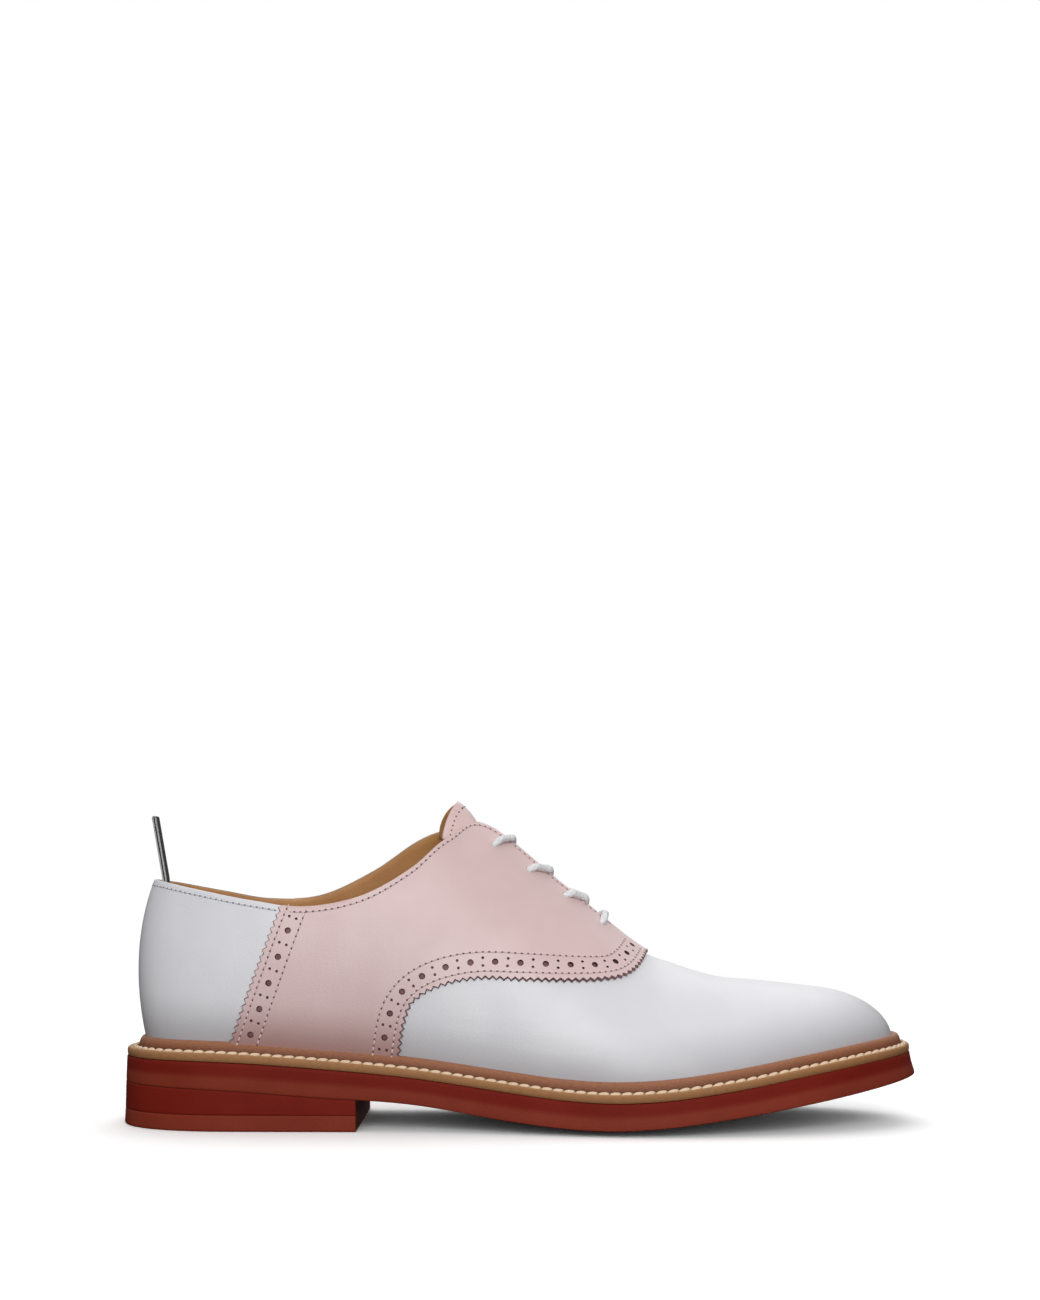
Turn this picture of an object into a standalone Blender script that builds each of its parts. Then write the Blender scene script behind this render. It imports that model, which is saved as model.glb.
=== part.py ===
"""A welted saddle shoe for the right foot.

It stands on its sole with the toe along +X, the inner side of the foot along +Y and the floor at Z = 0.
Sizes and tables are in millimetres, and become metres where a mesh is made.
"""

import bisect
import math
from collections import namedtuple
from functools import lru_cache

import bmesh
import bpy
import numpy as np

MM = 0.001
GAP = 0.3
LATERAL = -1
MEDIAL = 1

# Sole: outline, thickness and the crown of the forefoot
SOLE_LENGTH = 304.0
HEEL_ROUND = 47.0
HEEL_POWER = 2.3
TOE_ROUND = 100.0
TOE_POWER = 2.05
TOE_SWING = 6.0
TOE_SWING_START = 40.0
SOLE_CROWN = 3.0
CROWN_START = -45.0
CROWN_FULL = 0.0
CROWN_FADE = 0.8
CROWN_FADE_START = 70.0
HEEL_FLARE = 0.8
TOE_FLARE = 1.9
HEEL_TUCK = 0.5
TUCK_END = -30.0
SOLE_CORNER = 0.7
SOLE_CORNER_RISE = 1.2
SOLE_SPLIT = 0.5
SPLIT_FLARE = 0.6
SOLE_TOP_POINTS = 2
SOLE_BOTTOM_POINTS = 5

# Heel: from the back of the sole to its breast, with the insets of its side from top to bottom
HEEL_LENGTH = 91.0
HEEL_STEPS = 11
HEEL_ACROSS_POINTS = 2
TOP_PIECE_HEIGHT = 6.0
BLOCK_INSETS = (0.6, 0.4, 0.3, 0.4)
TOP_PIECE_INSETS = (0.3, 0.1, 0.0, SOLE_CORNER)

# Welt: a flat strip on the sole with a lip against the upper, as insets and rises above the sole.
# The edge's insets start at the sole's top edge, and the lip's at the sole's widest line.
Corner = namedtuple("Corner", "inset rise")
WELT_THICKNESS = 3.0
WELT_TOP = WELT_THICKNESS + GAP
WELT_EDGE = (Corner(0.6, GAP), Corner(0.2, 1.0), Corner(0.2, 2.6), Corner(0.7, WELT_TOP))
WELT_LIP = (Corner(5.3, WELT_TOP), Corner(5.5, 4.4), Corner(6.1, 6.8), Corner(6.9, 7.4))
WELT_INNER = 11.3
LIP_HEIGHT = WELT_LIP[-1].rise

# Upper: where it stands on the welt, and its wall
FEATHER_INSET = 8.6
UPPER_WALL = 2.2
UPPER_ROWS = 12
RIBS_PER_SECTION = 2
CORNER_RIBS = (7.25, 7.75, 8.25, 9.25, 10.25)

# Saddle: an overlay on the upper
SADDLE_GAP = 0.52
SADDLE_THICKNESS = 1.1
SADDLE_ROWS = 10
REAR_COLUMNS = 5
STEEP_ROWS = 5
TIP_SECTIONS = (9.7, 9.85)
COLUMN_SPACING = 0.1
REAR_FOOT_X = -107.5
REAR_TOP_X = -89.0
REAR_TOP_SECTION = 4
THROAT_START_SECTION = 7
THROAT_END_SECTION = 10
BRIDGE_SECTIONS = (10.0, 10.06, 10.12, 10.18)
BRIDGE_END_X = 47.6

# Insole
INSOLE_INSET = 11.7
INSOLE_BEVEL = 2.6
INSOLE_THICKNESS = 5.0

# Tongue: under the facings, with a free top
TONGUE_THICKNESS = 1.8
TONGUE_CLEAR = 0.9
TONGUE_SHARE = 0.22
TONGUE_FRONT_SECTION = 10.5
TONGUE_TOP_SECTION = 8.0
TONGUE_LENGTH_ROWS = 8
TONGUE_FREE_ROWS = 3
TONGUE_HALF_COLUMNS = 5
TONGUE_MIDDLE_TOP = (-8.7, 0.0, 12.4)
TONGUE_SIDE_TOP = {LATERAL: (-13.4, 1.8, 11.2), MEDIAL: (-16.5, -3.4, 11.6)}
TONGUE_BELLY = {LATERAL: (-0.3, 1.5, 0.0), MEDIAL: (-1.8, -1.0, 0.0)}
TONGUE_BOW = (1.3, 0.0, 0.4)
TONGUE_BOW_WIDTH = 0.25

# Lace: a round cord over four pairs of eyelets
LACE_RADIUS = 1.4
LACE_CLEAR = 0.8
LACE_STEPS = 5
LACE_ROUNDING = 2

# Pull loop: a folded ribbon sewn inside the back of the collar
LOOP_WIDTH = 7.0
LOOP_RIBBON = 0.6
LOOP_SLOT = 0.5
LOOP_BASE_X = -137.1
LOOP_FOOT_Z = 82.0
LOOP_COLLAR_Z = 92.5
LOOP_TOP_Z = 117.0
LOOP_TOP_X = -141.3
LOOP_BEND_STEPS = 6

# Fineness of the solver, the outline's scan and the joined meshes
HALVINGS = 44
SCAN_STEPS = 400
MERGE_DISTANCE = 1e-6
SHARP_ANGLE = 40.0

# Half widths of the sole before its ends are rounded
Plan = namedtuple("Plan", "x lateral medial")
SOLE_PLAN = (
    Plan(-152, 36.0, 35.5),
    Plan(-105, 36.0, 35.5),
    Plan(-80, 36.5, 35.0),
    Plan(-50, 37.5, 33.0),
    Plan(-20, 41.0, 33.0),
    Plan(10, 47.5, 38.0),
    Plan(35, 52.0, 46.0),
    Plan(60, 52.5, 51.5),
    Plan(80, 52.0, 53.0),
    Plan(100, 52.2, 52.8),
    Plan(152, 52.0, 52.0),
)

# Height of the sole's top edge, from heel seat and waist to ball and toe spring, and the outsole's thickness
Line = namedtuple("Line", "x top thickness")
SOLE_LINE = (
    Line(-152, 25.8, 9.4),
    Line(-110, 25.2, 10.2),
    Line(-77, 23.0, 10.4),
    Line(-40, 19.6, 9.4),
    Line(-4, 14.8, 10.0),
    Line(14, 12.7, 9.8),
    Line(32, 11.8, 9.6),
    Line(47, 12.3, 9.4),
    Line(76, 15.8, 9.5),
    Line(106, 20.9, 10.0),
    Line(136, 25.2, 9.5),
    Line(152, 26.6, 8.4),
)

# Sections of the last from heel to toe. Each rib starts at feather_x on the welt and ends at top_x, on the
# collar, the facing's edge or the ridge. The half columns are distances from the ridge line, rise and swell
# lead out of the welt, and reach and tilt lead into the top (tilt 0 hangs straight down, 90 lies flat).
Section = namedtuple(
    "Section",
    "feather_x top_x lateral_half lateral_z medial_half medial_z rise lateral_swell medial_swell reach tilt",
)
SECTIONS = (
    Section(-143.4, -141.5, 0.0, 92.5, 0.0, 92.5, 20.6, 5.0, 5.0, 22.0, 21.0),
    Section(-138.0, -134.5, 12.0, 91.3, 12.0, 91.3, 20.0, 5.0, 5.0, 21.0, 20.0),
    Section(-123.0, -118.0, 22.0, 88.0, 22.0, 87.9, 19.0, 5.0, 4.8, 20.0, 16.0),
    Section(-102.0, -100.0, 27.0, 84.7, 27.0, 84.8, 19.0, 4.8, 4.4, 19.0, 13.0),
    Section(-80.0, -80.0, 29.3, 82.4, 28.0, 86.0, 18.0, 4.8, 3.8, 19.0, 13.0),
    Section(-58.0, -59.0, 29.4, 86.5, 26.2, 95.6, 20.0, 4.3, 2.8, 24.0, 14.0),
    Section(-36.0, -41.0, 26.0, 96.6, 22.0, 107.5, 24.0, 3.8, 1.8, 26.0, 20.0),
    Section(-20.0, -28.0, 19.0, 108.0, 16.0, 112.0, 27.0, 3.3, 1.3, 29.0, 28.0),
    Section(-8.0, -14.0, 5.5, 112.6, 5.5, 112.6, 29.0, 2.8, 0.8, 28.0, 56.0),
    Section(25.0, 15.0, 2.5, 89.9, 2.5, 89.9, 27.0, 2.8, 0.8, 22.0, 62.0),
    Section(52.0, 44.0, 0.0, 66.6, 0.0, 66.6, 22.0, 2.3, 0.8, 16.0, 90.0),
    Section(68.0, 59.0, 0.0, 60.0, 0.0, 60.0, 19.0, 1.8, 0.8, 19.0, 90.0),
    Section(85.0, 75.0, 0.0, 55.2, 0.0, 55.2, 17.0, 1.3, 0.8, 22.0, 90.0),
    Section(103.0, 90.0, 0.0, 53.7, 0.0, 53.7, 15.5, 0.8, 0.8, 22.0, 90.0),
    Section(118.0, 103.0, 0.0, 52.3, 0.0, 52.3, 14.0, 0.8, 0.8, 20.0, 90.0),
    Section(131.0, 113.0, 0.0, 51.2, 0.0, 51.2, 12.5, 0.8, 0.8, 16.0, 90.0),
    Section(140.5, 118.5, 0.0, 50.4, 0.0, 50.4, 11.0, 0.8, 0.8, 13.5, 90.0),
    Section(143.4, 120.0, 0.0, 50.1, 0.0, 50.1, 10.5, 0.8, 0.8, 12.5, 90.0),
)
LAST_SECTION = len(SECTIONS) - 1

# The ridge line of the vamp in the side view, carried on behind the throat over the open instep
Edge = namedtuple("Edge", "x z")
RIDGE_BEHIND = (Edge(-80.0, 127.4), Edge(-59.0, 127.2), Edge(-41.0, 125.5), Edge(-28.0, 121.0))
RIDGE_AHEAD = tuple(Edge(row.top_x, row.lateral_z) for row in SECTIONS[THROAT_END_SECTION - 2 :])
RIDGE_LINE = RIDGE_BEHIND + RIDGE_AHEAD

# The ridge line swings to the inner side towards the toe
Ridge = namedtuple("Ridge", "x y")
RIDGE = (Ridge(-150, 0.0), Ridge(-14, 0.5), Ridge(44, 3.0), Ridge(80, 5.0), Ridge(120, 6.0))

# Front edge of the saddle from the welt to the ridge, as seen from the side
SADDLE_FRONT = (
    Edge(-45.8, 27.0),
    Edge(-44.8, 35.0),
    Edge(-43.8, 40.0),
    Edge(-41.8, 46.0),
    Edge(-38.0, 50.0),
    Edge(-31.0, 53.6),
    Edge(-24.5, 55.5),
    Edge(-14.0, 56.7),
    Edge(-3.0, 56.2),
    Edge(9.0, 55.7),
    Edge(20.0, 55.4),
    Edge(30.0, 55.6),
    Edge(38.6, 57.0),
    Edge(43.0, 59.8),
    Edge(47.6, 64.9),
)

# Eyelets of one facing, and where the two lace ends that leave each pair cross on the ridge
Eyelet = namedtuple("Eyelet", "name x z cross_x")
EYELETS = (
    Eyelet("lace_cross_1", -11.0, 105.0, -4.6),
    Eyelet("lace_cross_2", 2.0, 95.5, 9.8),
    Eyelet("lace_cross_3", 16.0, 85.6, 23.5),
    Eyelet("lace_bar", 30.0, 75.0, 30.5),
)

Finish = namedtuple("Finish", "red green blue roughness")
WHITE_LEATHER = Finish(0.72, 0.73, 0.76, 0.45)
PINK_LEATHER = Finish(0.72, 0.50, 0.49, 0.5)
RED_RUBBER = Finish(0.20, 0.022, 0.014, 0.55)
DARK_RED_RUBBER = Finish(0.17, 0.018, 0.012, 0.55)
TAN_WELT = Finish(0.40, 0.20, 0.10, 0.5)
TAN_LEATHER = Finish(0.55, 0.33, 0.16, 0.6)
WHITE_CORD = Finish(0.85, 0.85, 0.85, 0.8)
CHARCOAL_RIBBON = Finish(0.02, 0.02, 0.022, 0.85)


@lru_cache(maxsize=None)
def curve_of(rows, column):
    """A table's column as places, values and slopes."""
    xs = [row.x for row in rows]
    values = [getattr(row, column) for row in rows]
    return xs, values, [float(slope) for slope in np.gradient(values, xs)]


def read(rows, column, x):
    """A table's column at x, on a smooth curve through its rows."""
    xs, values, slopes = curve_of(rows, column)
    if x <= xs[0]:
        return values[0]
    if x >= xs[-1]:
        return values[-1]
    i = bisect.bisect_left(xs, x) - 1
    span = xs[i + 1] - xs[i]
    f = (x - xs[i]) / span
    start = (1 + 2 * f) * (1 - f) ** 2 * values[i] + f * (1 - f) ** 2 * span * slopes[i]
    end = f * f * (3 - 2 * f) * values[i + 1] - f * f * (1 - f) * span * slopes[i + 1]
    return start + end


def ramp(x, start, end):
    """0 before start, 1 after end, with an easy curve between them."""
    f = min(max((x - start) / (end - start), 0.0), 1.0)
    return f * f * (3 - 2 * f)


def solve(function, low, high):
    """Where a rising function crosses zero, by halving."""
    for _ in range(HALVINGS):
        middle = (low + high) / 2
        if function(middle) < 0:
            low = middle
        else:
            high = middle
    return (low + high) / 2


# Outline of the sole. A turn runs from 0 at the heel's back along the outer side to 1 at the toe's tip,
# and on along the inner side to 2.
def sole_edge(turn):
    turn = turn % 2
    share = min(turn, 2 - turn)
    x = -SOLE_LENGTH / 2 * math.cos(math.pi * share)
    heel = max(0.0, 1 - (x + SOLE_LENGTH / 2) / HEEL_ROUND)
    toe = max(0.0, 1 - (SOLE_LENGTH / 2 - x) / TOE_ROUND)
    rounding = (1 - heel**HEEL_POWER) ** (1 / HEEL_POWER) * (1 - toe**TOE_POWER) ** (1 / TOE_POWER)
    swing = TOE_SWING * ramp(x, TOE_SWING_START, SOLE_LENGTH / 2 + TOE_SWING_START)
    if turn <= 1:
        return np.array((x, swing - read(SOLE_PLAN, "lateral", x) * rounding))
    return np.array((x, swing + read(SOLE_PLAN, "medial", x) * rounding))


def edge_normal(turn):
    step = 0.002
    along = sole_edge(turn + step) - sole_edge(turn - step)
    return np.array((along[1], -along[0])) / np.linalg.norm(along)


def inset_edge(turn, inset):
    return sole_edge(turn) - inset * edge_normal(turn)


def centre_shift():
    """Brings the outline's widest points to the same distance from the middle."""
    ys = [sole_edge(i / SCAN_STEPS)[1] for i in range(2 * SCAN_STEPS + 1)]
    return -(max(ys) + min(ys)) / 2


CENTRE_SHIFT = centre_shift()


def sole_top(x):
    return read(SOLE_LINE, "top", x)


def flare(x):
    """How far the sole's top edge lies inside its widest line."""
    return HEEL_FLARE + (TOE_FLARE - HEEL_FLARE) * ramp(x, -SOLE_LENGTH / 2, SOLE_LENGTH / 2)


def tuck(x):
    """How far the outsole's bottom edge lies inside its widest line, above the heel."""
    return HEEL_TUCK * (1 - ramp(x, HEEL_LENGTH - SOLE_LENGTH / 2, TUCK_END))


# Surface of the last
def section_value(column, position):
    """A column of SECTIONS on a smooth curve, level at both ends. A half passes through zero at the back."""
    values = [getattr(row, column) for row in SECTIONS]
    mirrored = -values[1] if column.endswith("half") else values[1]
    values = [mirrored, *values, values[-2]]
    i = min(int(position), LAST_SECTION - 1)
    f = position - i
    before, start, end, after = values[i : i + 4]
    first = (end - before) / 2
    second = (after - start) / 2
    level = (1 + 2 * f) * (1 - f) ** 2 * start + f * f * (3 - 2 * f) * end
    return level + f * (1 - f) ** 2 * first - f * f * (1 - f) * second


def ridge_slope(x):
    step = 1.0
    near = min(x, RIDGE_LINE[-1].x - step)
    return (read(RIDGE_LINE, "z", near + step) - read(RIDGE_LINE, "z", near - step)) / (2 * step)


@lru_cache(maxsize=None)
def feather_turn(side, position):
    """The turn where a section's rib starts."""
    x = section_value("feather_x", position)
    if position <= 0:
        return 0.0
    if position >= LAST_SECTION:
        return 1.0
    if side == LATERAL:
        return solve(lambda turn: inset_edge(turn, FEATHER_INSET)[0] - x, 0.0, 1.0)
    return 2 - solve(lambda share: inset_edge(2 - share, FEATHER_INSET)[0] - x, 0.0, 1.0)


@lru_cache(maxsize=None)
def rib(side, position):
    """The four control points of a rib, from the welt to its top."""
    turn = feather_turn(side, position)
    plan = inset_edge(turn, FEATHER_INSET)
    out = edge_normal(turn)
    foot = np.array((*plan, sole_top(plan[0]) + WELT_TOP + GAP))
    name = "lateral" if side == LATERAL else "medial"
    top_x = section_value("top_x", position)
    half = max(0.0, section_value(name + "_half", position))
    if position >= THROAT_END_SECTION:
        half = 0.0
    top = np.array((top_x, read(RIDGE, "y", top_x) + side * half, section_value(name + "_z", position)))
    swell = section_value(name + "_swell", position)
    lead_out = np.array((swell * out[0], swell * out[1], section_value("rise", position)))
    tilt = math.radians(section_value("tilt", position))
    if position >= THROAT_END_SECTION:
        tilt = math.pi / 2
    flat = np.array((out[0], out[1], out[0] * ridge_slope(top_x)))
    hang = np.array((0.0, 0.0, -1.0))
    lead_in = section_value("reach", position) * (math.sin(tilt) * flat + math.cos(tilt) * hang)
    return foot, foot + lead_out, top + lead_in, top


def surface(side, position, height):
    """A point on the last: height runs from 0 at the welt to 1 at the top of the rib."""
    if position < 0:
        side = -side
        position = -position
    foot, above, below, top = rib(side, round(position, 6))
    rest = 1 - height
    return rest**3 * foot + 3 * rest**2 * height * above + 3 * rest * height**2 * below + height**3 * top


def outward(side, position, height):
    """The surface's unit normal, away from the foot."""
    step = 0.02
    ahead = surface(side, min(position + step, LAST_SECTION), height)
    along = ahead - surface(side, position - step, height)
    low = max(0.0, height - step)
    high = min(1.0, height + step)
    up = surface(side, position, high) - surface(side, position, low)
    normal = -side * np.cross(along, up)
    return normal / np.linalg.norm(normal)


def lifted(side, position, height, distance):
    return surface(side, position, height) + distance * outward(side, position, height)


def height_at(side, position, z):
    """Where a rib passes the height z."""
    return solve(lambda height: surface(side, position, height)[2] - z, 0.0, 1.0)


def section_at(side, x, z):
    """The section whose rib passes the point (x, z) of the side view."""

    def past_point(position):
        return surface(side, position, height_at(side, position, z))[0] - x

    return solve(past_point, 1.0, LAST_SECTION - 1)


def section_topping(x):
    """The section whose rib ends at x on the facing's edge or the ridge."""
    return solve(lambda position: section_value("top_x", position) - x, THROAT_START_SECTION, LAST_SECTION)


# Meshes and materials
def material(name, finish):
    made = bpy.data.materials.new(name)
    made.use_nodes = True
    shader = made.node_tree.nodes["Principled BSDF"]
    shader.inputs["Base Color"].default_value = (finish.red, finish.green, finish.blue, 1.0)
    shader.inputs["Roughness"].default_value = finish.roughness
    shader.inputs["Metallic"].default_value = 0.0
    return made


def add_object(name, data, finish):
    data.materials.append(material(name, finish))
    made = bpy.data.objects.new(name, data)
    bpy.context.scene.collection.objects.link(made)
    return made


def placed(point):
    """A point of the tables in metres, with the sole's outline centred."""
    return point[0] * MM, (point[1] + CENTRE_SHIFT) * MM, point[2] * MM


def add_mesh(name, grids, finish, closed_around=False, recalculate=True):
    """One object from grids of points. The points of a grid's columns are joined in quads, and points that
    meet are made one."""
    mesh = bmesh.new()
    for grid, closed_columns in grids:
        columns = [[mesh.verts.new(placed(point)) for point in column] for column in grid]
        pairs = list(zip(columns, columns[1:]))
        if closed_around:
            pairs.append((columns[-1], columns[0]))
        for left, right in pairs:
            last = len(left) if closed_columns else len(left) - 1
            for j in range(last):
                k = (j + 1) % len(left)
                mesh.faces.new((left[j], right[j], right[k], left[k]))
    bmesh.ops.remove_doubles(mesh, verts=mesh.verts, dist=MERGE_DISTANCE)
    if recalculate:
        bmesh.ops.recalc_face_normals(mesh, faces=mesh.faces)
    data = bpy.data.meshes.new(name)
    mesh.to_mesh(data)
    mesh.free()
    data.shade_smooth()
    data.set_sharp_from_angle(angle=math.radians(SHARP_ANGLE))
    return add_object(name, data, finish)


def thicken(made, thickness, offset):
    wall = made.modifiers.new("wall", "SOLIDIFY")
    wall.thickness = thickness * MM
    wall.offset = offset
    wall.use_even_offset = True
    return made


def positions():
    """The places along the shoe at which every ring and rib is made, closer at the facing's corner."""
    steps = LAST_SECTION * RIBS_PER_SECTION
    return sorted([i / RIBS_PER_SECTION for i in range(steps + 1)] + list(CORNER_RIBS))


def around():
    """Every rib once, along the outer side to the toe and back along the inner side."""
    places = positions()
    return [(LATERAL, place) for place in places] + [(MEDIAL, place) for place in places[-2:0:-1]]


def across(lateral, medial, count):
    """Points inside a straight line from one side to the other."""
    return [lateral + (medial - lateral) * i / (count + 1) for i in range(1, count + 1)]


def sole_bottom(x, share):
    """Bottom of the outsole at a share of the way across: crowned at the forefoot and flat on the floor."""
    fade = 1 - CROWN_FADE * ramp(x, CROWN_FADE_START, SOLE_LENGTH / 2)
    crown = SOLE_CROWN * fade * ramp(x, CROWN_START, CROWN_FULL) * (1 - (2 * share - 1) ** 2)
    return max(0.0, sole_top(x) - read(SOLE_LINE, "thickness", x) - crown)


def make_outsole():
    grid = []
    for place in positions():
        sides = []
        for side in (LATERAL, MEDIAL):
            turn = feather_turn(side, place)
            x = sole_edge(turn)[0]
            top = sole_top(x)
            low = sole_bottom(x, 0.0)
            middle = top + (low - top) * SOLE_SPLIT
            levels = (
                (flare(x), top),
                (tuck(x) + (flare(x) - tuck(x)) * SPLIT_FLARE, middle),
                (tuck(x), low + SOLE_CORNER_RISE),
                (SOLE_CORNER, low),
            )
            sides.append([np.array((*inset_edge(turn, inset), z)) for inset, z in levels])
        lateral, medial = sides
        bottom = across(lateral[-1], medial[-1], SOLE_BOTTOM_POINTS)
        for i, point in enumerate(bottom):
            point[2] = sole_bottom(point[0], (i + 1) / (SOLE_BOTTOM_POINTS + 1))
        top = across(medial[0], lateral[0], SOLE_TOP_POINTS)
        for point in top:
            point[2] = sole_top(point[0])
        grid.append(lateral + bottom + medial[::-1] + top)
    return add_mesh("outsole", [(grid, True)], RED_RUBBER)


def heel_layer(name, top, bottom, insets, finish):
    """A heel lift from the sole's back to its breast, with its heights and the insets of its side."""
    breast = HEEL_LENGTH - SOLE_LENGTH / 2
    share = solve(lambda turn: sole_edge(turn)[0] - breast, 0.0, 1.0)
    grid = []
    for i in range(HEEL_STEPS + 1):
        part = share * math.sin(math.pi / 2 * i / HEEL_STEPS)
        sides = []
        for turn in (part, 2 - part):
            x = sole_edge(turn)[0]
            heights = (top(x), (top(x) + bottom) / 2, bottom + SOLE_CORNER, bottom)
            points = [np.array((*inset_edge(turn, inset), z)) for inset, z in zip(insets, heights)]
            sides.append(points)
        lateral, medial = sides
        lower = across(lateral[-1], medial[-1], HEEL_ACROSS_POINTS)
        upper = across(medial[0], lateral[0], HEEL_ACROSS_POINTS)
        grid.append(lateral + lower + medial[::-1] + upper)
    for point in grid[-1]:
        point[0] = breast
    middle = [np.mean(grid[-1], axis=0)] * len(grid[-1])
    return add_mesh(name, [([*grid, middle], True)], finish)


def make_heel():
    def under_sole(x):
        return sole_bottom(x, 0.0) - GAP

    def on_top_piece(_):
        return TOP_PIECE_HEIGHT

    heel_layer("heel_block", under_sole, TOP_PIECE_HEIGHT + GAP, BLOCK_INSETS, DARK_RED_RUBBER)
    heel_layer("heel_top_piece", on_top_piece, 0.0, TOP_PIECE_INSETS, RED_RUBBER)


def make_welt():
    grid = []
    for side, place in around():
        turn = feather_turn(side, place)
        edge = flare(sole_edge(turn)[0])
        outer = [(edge + corner.inset, corner.rise) for corner in WELT_EDGE]
        ring = []
        for inset, rise in (*outer, *WELT_LIP):
            plan = inset_edge(turn, inset)
            ring.append(np.array((*plan, sole_top(plan[0]) + rise)))
        foot = surface(side, place, 0.0)
        out = np.array((*edge_normal(turn), 0.0))
        crest = surface(side, place, height_at(side, place, sole_top(foot[0]) + LIP_HEIGHT - GAP))
        ring.append(crest + GAP * out)
        ring.append(foot + GAP * out + np.array((0.0, 0.0, -GAP)))
        for rise in (WELT_TOP, GAP):
            plan = inset_edge(turn, WELT_INNER)
            ring.append(np.array((*plan, sole_top(plan[0]) + rise)))
        grid.append(ring)
    return add_mesh("welt", [(grid, True)], TAN_WELT, closed_around=True)


def make_insole():
    grid = []
    for place in positions():
        sides = []
        for side in (LATERAL, MEDIAL):
            turn = feather_turn(side, place)
            levels = (
                (INSOLE_INSET + INSOLE_BEVEL, GAP + INSOLE_THICKNESS),
                (INSOLE_INSET, GAP + INSOLE_THICKNESS / 2),
                (INSOLE_INSET, GAP),
            )
            points = []
            for inset, rise in levels:
                plan = inset_edge(turn, inset)
                points.append(np.array((*plan, sole_top(plan[0]) + rise)))
            sides.append(points)
        lateral, medial = sides
        lower = across(lateral[-1], medial[-1], 1)
        upper = across(medial[0], lateral[0], 1)
        grid.append(lateral + lower + medial[::-1] + upper)
    return add_mesh("insole", [(grid, True)], TAN_LEATHER)


def make_upper():
    grid = []
    for side, place in around():
        grid.append([surface(side, place, j / UPPER_ROWS) for j in range(UPPER_ROWS + 1)])
    made = add_mesh("upper", [(grid, False)], WHITE_LEATHER, closed_around=True, recalculate=False)
    return thicken(made, UPPER_WALL, -1.0)


def saddle_foot(side, place):
    """Where the saddle starts on a rib, just above the welt's lip."""
    foot = surface(side, place, 0.0)
    return height_at(side, place, sole_top(foot[0]) + LIP_HEIGHT + GAP)


def rear_section(side, share):
    """The section where the saddle's straight rear edge stands at a share of the rib above the lip."""
    foot_z = sole_top(REAR_FOOT_X) + LIP_HEIGHT
    top_z = SECTIONS[REAR_TOP_SECTION].lateral_z

    def past_edge(position):
        low = saddle_foot(side, position)
        point = surface(side, position, low + (1 - low) * share)
        edge_x = REAR_FOOT_X + (REAR_TOP_X - REAR_FOOT_X) * (point[2] - foot_z) / (top_z - foot_z)
        return point[0] - edge_x

    return solve(past_edge, 1.0, THROAT_END_SECTION)


def front_height(side, position):
    """Where a rib passes the saddle's front edge."""

    def past_edge(height):
        point = surface(side, position, height)
        return point[2] - read(SADDLE_FRONT, "z", point[0])

    return solve(past_edge, 0.0, 1.0)


def saddle_columns(side):
    """Columns of (position, height) from the saddle's rear edge to its tip on the ridge."""
    shares = [j / SADDLE_ROWS for j in range(SADDLE_ROWS + 1)]
    first = section_at(side, SADDLE_FRONT[0].x, sole_top(SADDLE_FRONT[0].x) + LIP_HEIGHT + GAP)
    columns = []
    for i in range(REAR_COLUMNS):
        column = []
        for share in shares:
            rear = rear_section(side, share)
            place = rear + (first - rear) * i / REAR_COLUMNS
            low = saddle_foot(side, place)
            column.append((place, 1 - (1 - low) * (1 - share)))
        columns.append(column)
    fronts = [(first, saddle_foot(side, first))]
    for row in SADDLE_FRONT[1:STEEP_ROWS]:
        place = section_at(side, row.x, row.z)
        fronts.append((place, height_at(side, place, row.z)))
    start = fronts[-1][0] + COLUMN_SPACING
    ribs = [place for place in positions() if start < place < THROAT_END_SECTION]
    for place in (*ribs, *TIP_SECTIONS, *BRIDGE_SECTIONS):
        fronts.append((place, front_height(side, place)))
    fronts.append((section_topping(BRIDGE_END_X), 1.0))
    for place, low in fronts:
        columns.append([(place, 1 - (1 - low) * (1 - share)) for share in shares])
    return columns


def make_saddle():
    grids = []
    for side in (LATERAL, MEDIAL):
        columns = saddle_columns(side)
        if side == MEDIAL:
            columns.reverse()
        grid = []
        for column in columns:
            points = []
            for place, height in column:
                point = lifted(side, place, height, SADDLE_GAP)
                if height == 1 and place >= THROAT_END_SECTION:
                    slope = ridge_slope(point[0])
                    up = np.array((-slope, 0.0, 1.0)) / math.hypot(slope, 1.0)
                    point = surface(side, place, 1.0) + SADDLE_GAP * up
                points.append(point)
            grid.append(points)
        grids.append((grid, False))
    made = add_mesh("saddle", grids, PINK_LEATHER, recalculate=False)
    return thicken(made, SADDLE_THICKNESS, 1.0)


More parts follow.
